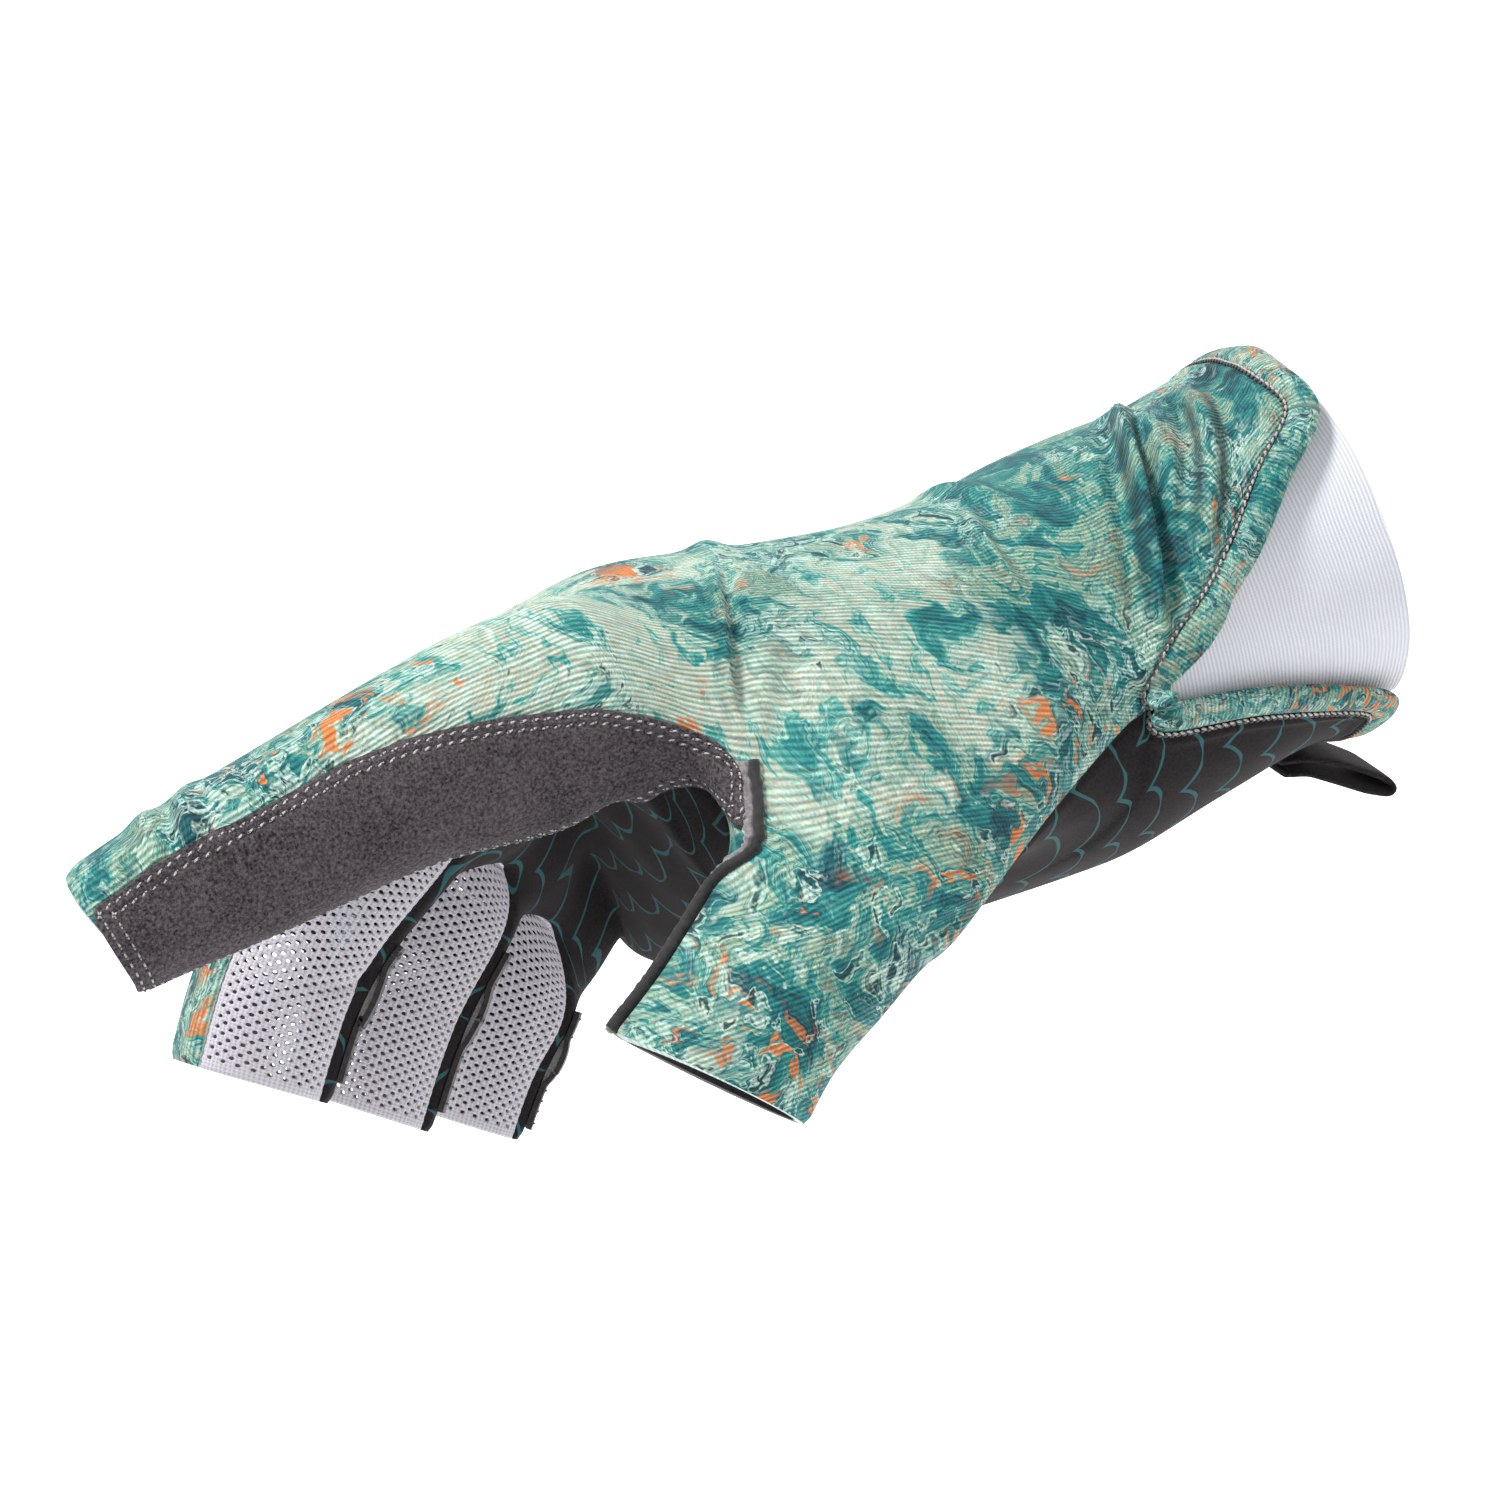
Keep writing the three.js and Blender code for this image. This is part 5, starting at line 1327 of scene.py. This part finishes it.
def fourchette(name, node, strip):
    grid, out = places[strip], normals[strip]
    middle = grid[:, grid.shape[1] // 2]
    length = np.concatenate([[0], np.cumsum(np.linalg.norm(np.diff(middle, axis=0), axis=1))])
    wide = np.linalg.norm(np.diff(grid, axis=1), axis=2).sum(axis=1).mean()
    rows = int(length[-1] / HOLE_ALONG) // 2 * 2
    columns = int(wide / HOLE_ACROSS) // 2 * 2
    s = np.interp(np.linspace(0, length[-1], rows + 1), length, np.linspace(0, 1, len(length)))
    t = np.linspace(0.006, 0.994, columns + 1)
    ss, tt = np.meshgrid(s, t, indexing="ij")
    scallop = SCALLOP_DEPTH / wide * np.where(np.arange(rows + 1) % 2, 1, -1)
    tt[:, 0] += SCALLOP_INSET / wide + scallop
    tt[:, -1] -= SCALLOP_INSET / wide + scallop
    flat = sampled(grid, ss, tt)
    lean = sampled(out, ss, tt)
    ids = np.arange(flat[..., 0].size).reshape(flat.shape[:2])
    quads = np.stack([ids[:-1, :-1], ids[:-1, 1:], ids[1:, 1:], ids[1:, :-1]], axis=2).reshape(-1, 4)
    row, column = np.divmod(np.arange(len(quads)), columns)
    hole = ((row + column) % 2 == 0) & (row > 1) & (row < rows - 2) & (column > 0) & (column < columns - 1)
    uv = np.stack([tt * wide, np.interp(ss, np.linspace(0, 1, len(length)), length)], axis=2).reshape(-1, 2)
    points = flat.reshape(-1, 3) - lean.reshape(-1, 3) * MESH_DEPTH
    made = mesh_object(name, points, quads, [MESH_KNIT, MESH_INSIDE_PAINTED_SHADE], uv)
    a, b, c = points[quads[0][:3]]
    side = np.cross(b - a, c - a)
    if side @ lean.reshape(-1, 3)[0] < 0:
        made.data.flip_normals()
    mark = made.data.attributes.new("hole", "BOOLEAN", "FACE")
    mark.data.foreach_set("value", hole)
    # the solidified inner face takes the second material, the knit's darker copy in painted shade
    settled(made, PERFORATIONS, {"Open share": MESH_OPEN, "Material": MESH_KNIT}, [
        ("SOLIDIFY", {"thickness": MESH_WALL * MM, "offset": -1.0, "material_offset": 1}),
        ("SUBSURF", {"levels": 1, "render_levels": 1})])
    made.data.polygons.foreach_set("use_smooth", [True] * len(made.data.polygons))
    keep(made, node)


for number, pair in enumerate(("index_middle", "middle_ring", "ring_little")):
    fourchette(f"fourchette_{pair}_mesh", f"fourchette_{pair}", net["strips"][number])

# The suede guard on the index finger's side
GUARD_SUEDE_WALL = 0.9
GUARD_RISE = 0.2
GUARD_GRID = (170, 56)
GUARD_CORNERS = ((1.6, 4.5), (1.6, 1.2))
GUARD_OVERHANG = (2.6, 3.8)
OVERHANG_FROM = 10
EDGE_SHARE = 0.45
EDGE_BREADTH = 1.1
STITCH_INSETS = (0.75, 1.85)
STITCH_DEPTH = 0.3
STITCH_BREADTH = 0.28
guard_rows = named_rows(GUARD_NAMES, GUARD_STATIONS)


def guard_hit(along, share, past=0.0):
    value = {name: value_at(guard_rows, along, name) for name in GUARD_NAMES}
    turn = value["topEdge"] + (value["bottomEdge"] - past - value["topEdge"]) * share
    c, s = math.cos(math.radians(turn)), math.sin(math.radians(turn))
    return surface_hit(placed(along, value["across"], value["up"]), (value["slant"] * s, -c, s))


def rounded(share, length, width, corners):
    """The part of the guard's width that is left near its two rounded ends."""
    far = share * length
    cut = []
    for start, end in corners:
        m = 0.0
        for radius, d in ((start, far), (end, length - far)):
            if d < radius:
                m = max(m, radius - math.sqrt(radius**2 - (radius - d) ** 2))
        cut.append(m / width)
    return cut[0], 1 - cut[1]


def guard_grid():
    first, last = guard_rows[0]["along"], guard_rows[-1]["along"]
    ends = [guard_hit(first + (last - first) * i / 24, 0.5)[0] for i in range(25)]
    length = sum(np.linalg.norm(b - a) for a, b in zip(ends, ends[1:]))
    points, lean, edge = [], [], []
    for i in range(GUARD_GRID[0] + 1):
        share = i / GUARD_GRID[0]
        along = first + (last - first) * share
        across = [guard_hit(along, k / 8)[0] for k in range(9)]
        width = sum(np.linalg.norm(b - a) for a, b in zip(across, across[1:]))
        low, high = rounded(share, length, width, GUARD_CORNERS)
        row = [guard_hit(along, low + (high - low) * k / GUARD_GRID[1]) for k in range(GUARD_GRID[1] + 1)]
        points.append([r[0] for r in row])
        lean.append([r[1] for r in row])
        left = width * (high - low)
        edge.append([min(left * k / GUARD_GRID[1], left * (1 - k / GUARD_GRID[1]), share * length,
                         (1 - share) * length) for k in range(GUARD_GRID[1] + 1)])
    points = np.array(points)
    # the soft end reaches past the finger's cut edge, more towards the palm
    ahead = points[0] - points[8]
    ahead /= np.linalg.norm(ahead, axis=1, keepdims=True)
    share = np.clip(1 - np.linspace(0, length, len(points)) / OVERHANG_FROM, 0, 1)
    reach = np.linspace(*GUARD_OVERHANG, GUARD_GRID[1] + 1)
    points += share[:, None, None] * reach[None, :, None] * ahead[None]
    return points, np.array(lean), np.array(edge), length


guard_points, guard_lean, guard_edge, guard_length = guard_grid()
puffed = EDGE_SHARE + (1 - EDGE_SHARE) * np.clip(guard_edge / EDGE_BREADTH, 0, 1) ** 0.6
for inset in STITCH_INSETS:
    puffed -= STITCH_DEPTH * np.exp(-(((guard_edge - inset) / STITCH_BREADTH) ** 2))
guard_top = guard_points + guard_lean * (GUARD_RISE + GUARD_SUEDE_WALL * puffed)[..., None]
guard_low = guard_points + guard_lean * GUARD_RISE
guard_uv = np.stack(np.meshgrid(np.linspace(0, guard_length, GUARD_GRID[0] + 1),
                                np.linspace(0, 24, GUARD_GRID[1] + 1), indexing="ij"), axis=2)
guard = keep(sheet_between("index_guard_suede", guard_top, guard_low, [GUARD_SUEDE], guard_uv),
             "index_guard")


def inset_loop(inset):
    """A line on the guard at one distance inside its edge, all the way round."""
    rows, columns = guard_edge.shape
    width = np.linalg.norm(np.diff(guard_points, axis=1), axis=2).sum(axis=1)
    s0 = inset / guard_length
    along = np.linspace(s0, 1 - s0, 160)
    t = inset / np.interp(along, np.linspace(0, 1, rows), width)
    end = np.linspace(0, 1, 40)
    s = np.concatenate([along, np.full(40, 1 - s0), along[::-1], np.full(40, s0)])
    tt = np.concatenate([t, t[-1] + (1 - 2 * t[-1]) * end, 1 - t[::-1], 1 - t[0] - (1 - 2 * t[0]) * end])
    return sampled(guard_top + guard_lean * 0.06, s, tt)


guard_lines = [inset_loop(inset) for inset in STITCH_INSETS]
keep(stitched("index_guard_stitches", guard_lines, 1.5, 1.0, 0.3, THREAD, 0.35), None)
# dark beads between the stitches: painted shade in the needle holes
keep(stitched("index_guard_needle_holes", guard_lines, 0.775, 0.34, 0.4, DARK_THREAD), None)

# The rolled hem round the cuff and its notch
HEM_SIDES = 18
HEM_OPENING = 158
HEM_WALL = 0.8


def hem_frames():
    """The rim's points, the surface's normals there and the ways out over the rim, a little evened."""
    rim = np.array(cuff_rim)
    point, lean = places[rim], normals[rim]
    along = np.roll(point, -1, axis=0) - np.roll(point, 1, axis=0)
    along /= np.linalg.norm(along, axis=1, keepdims=True)
    inside = np.zeros_like(point)
    near = {}
    part = faces[np.isin(faces, rim).any(axis=1)]
    for face in part.tolist():
        for i in face:
            near.setdefault(i, []).append(places[face].mean(axis=0))
    for k, i in enumerate(rim):
        inside[k] = np.mean(near[int(i)], axis=0)
    out = point - inside
    out -= along * (out * along).sum(axis=1, keepdims=True)
    out -= lean * (out * lean).sum(axis=1, keepdims=True)
    out /= np.linalg.norm(out, axis=1, keepdims=True)
    for _ in range(3):
        out = (np.roll(out, 1, axis=0) + 2 * out + np.roll(out, -1, axis=0)) / 4
        out /= np.linalg.norm(out, axis=1, keepdims=True)
    return point, lean, out


hem_point, hem_lean, hem_out = hem_frames()
hem_far = np.concatenate([[0], np.cumsum(np.linalg.norm(np.diff(hem_point, axis=0), axis=1))])
hem_rings, hem_uv = [], []
for point, lean, out, far in zip(hem_point, hem_lean, hem_out, hem_far):
    centre = point + out * (HEM_WIDTH / 2 - 0.2) - lean * CLOTH / 2
    turns = [math.radians(HEM_OPENING * (2 * k / HEM_SIDES - 1)) for k in range(HEM_SIDES + 1)]
    ring, ring_uv = [], []
    for wall, order in ((0.0, turns), (HEM_WALL, turns[::-1])):
        for turn in order:
            ring.append(centre + out * math.cos(turn) * (HEM_WIDTH / 2 - wall)
                        + lean * math.sin(turn) * (HEM_THICKNESS / 2 - wall) * (1 - 0.12 * math.cos(turn)))
            ring_uv.append((far, math.degrees(turn) / 30))
    hem_rings.append(ring)
    hem_uv.append(ring_uv)
hem = tube_through("cuff_hem_roll", hem_rings, True, [PRINTED_HEM], hem_uv)
keep(hem, "cuff_binding")
seam_line = hem_point - hem_out * 0.15 + hem_lean * 0.42
closed_seam = np.concatenate([seam_line, seam_line[:1]])
keep(stitched("cuff_chain_stitch_pale", [closed_seam], 1.15, 0.95, 0.42, THREAD, 0.35), None)
keep(stitched("cuff_chain_stitch_dark", [closed_seam - [0.3, 0, 0.1]], 1.0, 0.9, 0.5, DARK_THREAD, -0.35),
     None)


# The white ribbed gusset under the notch
GUSSET_GAP = 0.6
GUSSET_WALL = 0.9


def gusset_grid(inset, rows=44, columns=48):
    """The gusset's surface at one depth: it swells inwards most at the wrist's end."""
    first = -HEM_END_X / GLOVE_LENGTH
    last = HAND_SECTIONS[NOTCH_ROWS + 1][0] - GUSSET_TUCK / GLOVE_LENGTH
    made = []
    for i in range(rows + 1):
        section = section_at(first + (last - first) * i / rows)
        top = angle_at(section, section["upper"]) + GUSSET_OVERLAP
        low = angle_at(section, section["lower"]) - GUSSET_OVERLAP
        made.append([section_point(section, top + (low - top) * k / columns, inset
                                   - GUSSET_SWELL * math.sin(math.pi * k / columns) ** 2 * (1 - i / rows))
                     for k in range(columns + 1)])
    return np.array(made)


gusset_inset = CLOTH / 2 + HEM_THICKNESS / 2 + GUSSET_GAP
gusset_outer, gusset_inner = gusset_grid(gusset_inset), gusset_grid(gusset_inset + GUSSET_WALL)
gusset_uv = np.stack([-gusset_outer[..., 0], gusset_outer[..., 2]], axis=2)
gusset = keep(sheet_between("wrist_gusset_rib", gusset_outer, gusset_inner, [GUSSET_KNIT], gusset_uv),
              "wrist_gusset")


# The dark welt down the thumb's front seam
WELT_GAP = 1.2
WELT_STEP = 0.45
WELT_ROUNDS = 90
WELT_WOBBLE = 0.16


def welt_path():
    """Points and normals from the guard's lower end over the thumb's crotch and down its seam."""
    beside = guard_rows[-1]["along"] - WELT_GAP / GLOVE_LENGTH
    start = [guard_hit(beside, k / 4, 2) for k in range(5)]
    seam = [(places[i], normals[i]) for i in net["seam"]]
    seam = seam[len(seam) * 2 // 10 + 1:]
    base = named_rows(THUMB_NAMES, THUMB_STATIONS)[0]
    inside = placed((base["frontAlong"] + base["backAlong"]) / 2, base["across"],
                    (base["frontUp"] + base["backUp"]) / 2)
    corner = start[-1][0]
    turn = [surface_hit(inside, corner + (seam[0][0] - corner) * share - inside)
            for share in (0.25, 0.5, 0.75)]
    return start + turn + seam


def evened(pairs, step, rounds=6):
    """A path's points and normals at even steps, with its kinks eased."""
    spots = np.array([p for p, _ in pairs])
    leans = np.array([n for _, n in pairs])
    far = np.concatenate([[0], np.cumsum(np.linalg.norm(np.diff(spots, axis=0), axis=1))])
    at = np.linspace(0, far[-1], int(far[-1] / step) + 1)
    spots = np.stack([np.interp(at, far, spots[:, k]) for k in range(3)], axis=1)
    leans = np.stack([np.interp(at, far, leans[:, k]) for k in range(3)], axis=1)
    for _ in range(rounds):
        spots[1:-1] = (spots[:-2] + 2 * spots[1:-1] + spots[2:]) / 4
        leans[1:-1] = (leans[:-2] + 2 * leans[1:-1] + leans[2:]) / 4
    return spots, leans / np.linalg.norm(leans, axis=1, keepdims=True), at


welt_spots, welt_leans, welt_at = evened(welt_path(), WELT_STEP, WELT_ROUNDS)
rng = np.random.default_rng(7)
welt_wobble = np.convolve(rng.normal(0, WELT_WOBBLE, len(welt_spots)), [0.25, 0.5, 0.25], mode="same")


def welt_rings(across, rise, half, high, sides, rough):
    """Rings beside the welt's line, in millimetres, with their points a little uneven."""
    rings = []
    for i, (spot, lean) in enumerate(zip(welt_spots, welt_leans)):
        ahead = unit(welt_spots[min(i + 1, len(welt_spots) - 1)] - welt_spots[max(i - 1, 0)])
        side = unit(np.cross(lean, ahead))
        centre = spot + side * (across + welt_wobble[i]) + lean * rise
        rings.append([centre + side * math.cos(a) * half * (1 + rough * rng.normal())
                      + lean * math.sin(a) * high * (1 + rough * rng.normal())
                      for a in np.linspace(0, 2 * math.pi, sides, endpoint=False)])
    return rings


piping = welt_rings(across=0.0, rise=0.4, half=0.74, high=0.85, sides=12, rough=0.05)
welt = keep(tube_through("thumb_welt_piping", piping, False, [PIPING]), "thumb_welt")
brushed_edge = welt_rings(across=-1.25, rise=0.2, half=0.75, high=0.5, sides=10, rough=0.2)
keep(tube_through("thumb_welt_suede_edge", brushed_edge, False, [FUZZ]), None)

# The finger pulls: a sewn block, a free satin band and a sewn end block
PULL_GRID = (40, 16)
PULL_RISE = 0.25
PULL_WALL = 0.75
PULL_ARCH = 0.8
SATIN_FROM, SATIN_OVER = 0.24, 0.42
PULL_STITCHES = (0.05, 0.2, 0.7, 0.78, 0.86, 0.95)


def pull_grid(name):
    """Places and normals of the surface under one pull."""
    rows = named_rows(FINGER_NAMES, FINGERS[name])[2:]
    first, last = PULLS[name]
    points, lean = [], []
    for i in range(PULL_GRID[0] + 1):
        place = (first + (last - first) * i / PULL_GRID[0]) * (len(rows) - 1)
        k = min(int(place), len(rows) - 2)
        low, high = (placed(r["along"], r["across"], r["up"]) for r in rows[k:k + 2])
        start = low + (high - low) * (place - k)
        ahead = unit(high - low)
        side = np.array([0.0, 1, 0])
        side = unit(side - ahead * ahead[1])
        rise = unit(np.cross(side, ahead))
        row = []
        for j in range(PULL_GRID[1] + 1):
            a = math.radians(PULL_EDGES[0] + (PULL_EDGES[1] - PULL_EDGES[0]) * j / PULL_GRID[1])
            row.append(surface_hit(start, -side * math.cos(a) + rise * math.sin(a)))
        points.append([r[0] for r in row])
        lean.append([r[1] for r in row])
    return np.array(points), np.array(lean)


def finger_pull(name):
    points, lean = pull_grid(name)
    share = np.linspace(0, 1, PULL_GRID[0] + 1)
    free = np.clip((share - SATIN_FROM) / SATIN_OVER, 0, 1)
    arch = PULL_ARCH * np.clip(np.sin(np.pi * free), 0, 1) ** 0.7
    rise = (PULL_RISE + arch)[:, None, None]
    length = np.linalg.norm(np.diff(points[:, 8], axis=0), axis=1).sum()
    width = np.linalg.norm(np.diff(points, axis=1), axis=2).sum(axis=1).mean()
    across = np.linspace(0, width, PULL_GRID[1] + 1)
    uv = np.stack(np.meshgrid(share * length, across, indexing="ij"), axis=2)
    band = (share[:-1] > SATIN_FROM) & (share[:-1] < SATIN_FROM + SATIN_OVER)
    marks = np.repeat(np.where(band, 1, 0)[:, None], PULL_GRID[1], axis=1)
    under, over = points + lean * rise, points + lean * (rise + PULL_WALL)
    piece = sheet_between(f"finger_pull_{name}_tape", over, under, [TAPE, SATIN], uv, marks)
    keep(piece, f"finger_pull_{name}")
    t = np.linspace(0.06, 0.94, 24)
    top = points + lean * (rise + PULL_WALL + 0.05)
    lines = [sampled(top, np.full(len(t), at), t) for at in PULL_STITCHES]
    keep(stitched(f"finger_pull_{name}_stitches", lines, 1.1, 0.8, 0.3, DARK_THREAD), None)


for finger in PULLS:
    finger_pull(finger)


# The folded pull tab behind the palm's rim
def pull_tab():
    roll = math.radians(TAB_ROLL)
    seat = section_point(named_rows(SECTION_NAMES, HAND_SECTIONS)[1], TAB_ANGLE)
    root = seat - [0, 0, (HEM_THICKNESS - CLOTH + TAB_CLOTH) / 2 + SEAM_GAP]
    path = np.array([root + [out * TAB_REACH, 0, -down * TAB_REACH] for out, down in TAB_PATH])
    spots, _, at = evened([(p, np.array([0.0, 0, 1])) for p in path], 0.5, rounds=3)
    side = np.array([0, math.cos(roll), math.sin(roll)])
    rings, uv = [], []
    for i, spot in enumerate(spots):
        ahead = unit(spots[min(i + 1, len(spots) - 1)] - spots[max(i - 1, 0)])
        face = unit(np.cross(side, ahead))
        narrow = 1 - 0.05 * math.sin(math.pi * i / (len(spots) - 1))
        ring = []
        for k in range(TAB_SIDES):
            turn = k / TAB_SIDES * 2 * math.pi
            c, s = math.cos(turn), math.sin(turn)
            x = math.copysign(abs(c) ** 0.35, c) * TAB_WIDTH / 2 * narrow
            z = math.copysign(abs(s) ** 0.6, s) * 0.5
            ring.append(spot + side * x + face * z)
            uv.append((at[i], x))
        rings.append(ring)
    piece = tube_through("wrist_pull_tab_suede", rings, False, [TAB_SUEDE], uv)
    keep(piece, "wrist_pull_tab")


pull_tab()
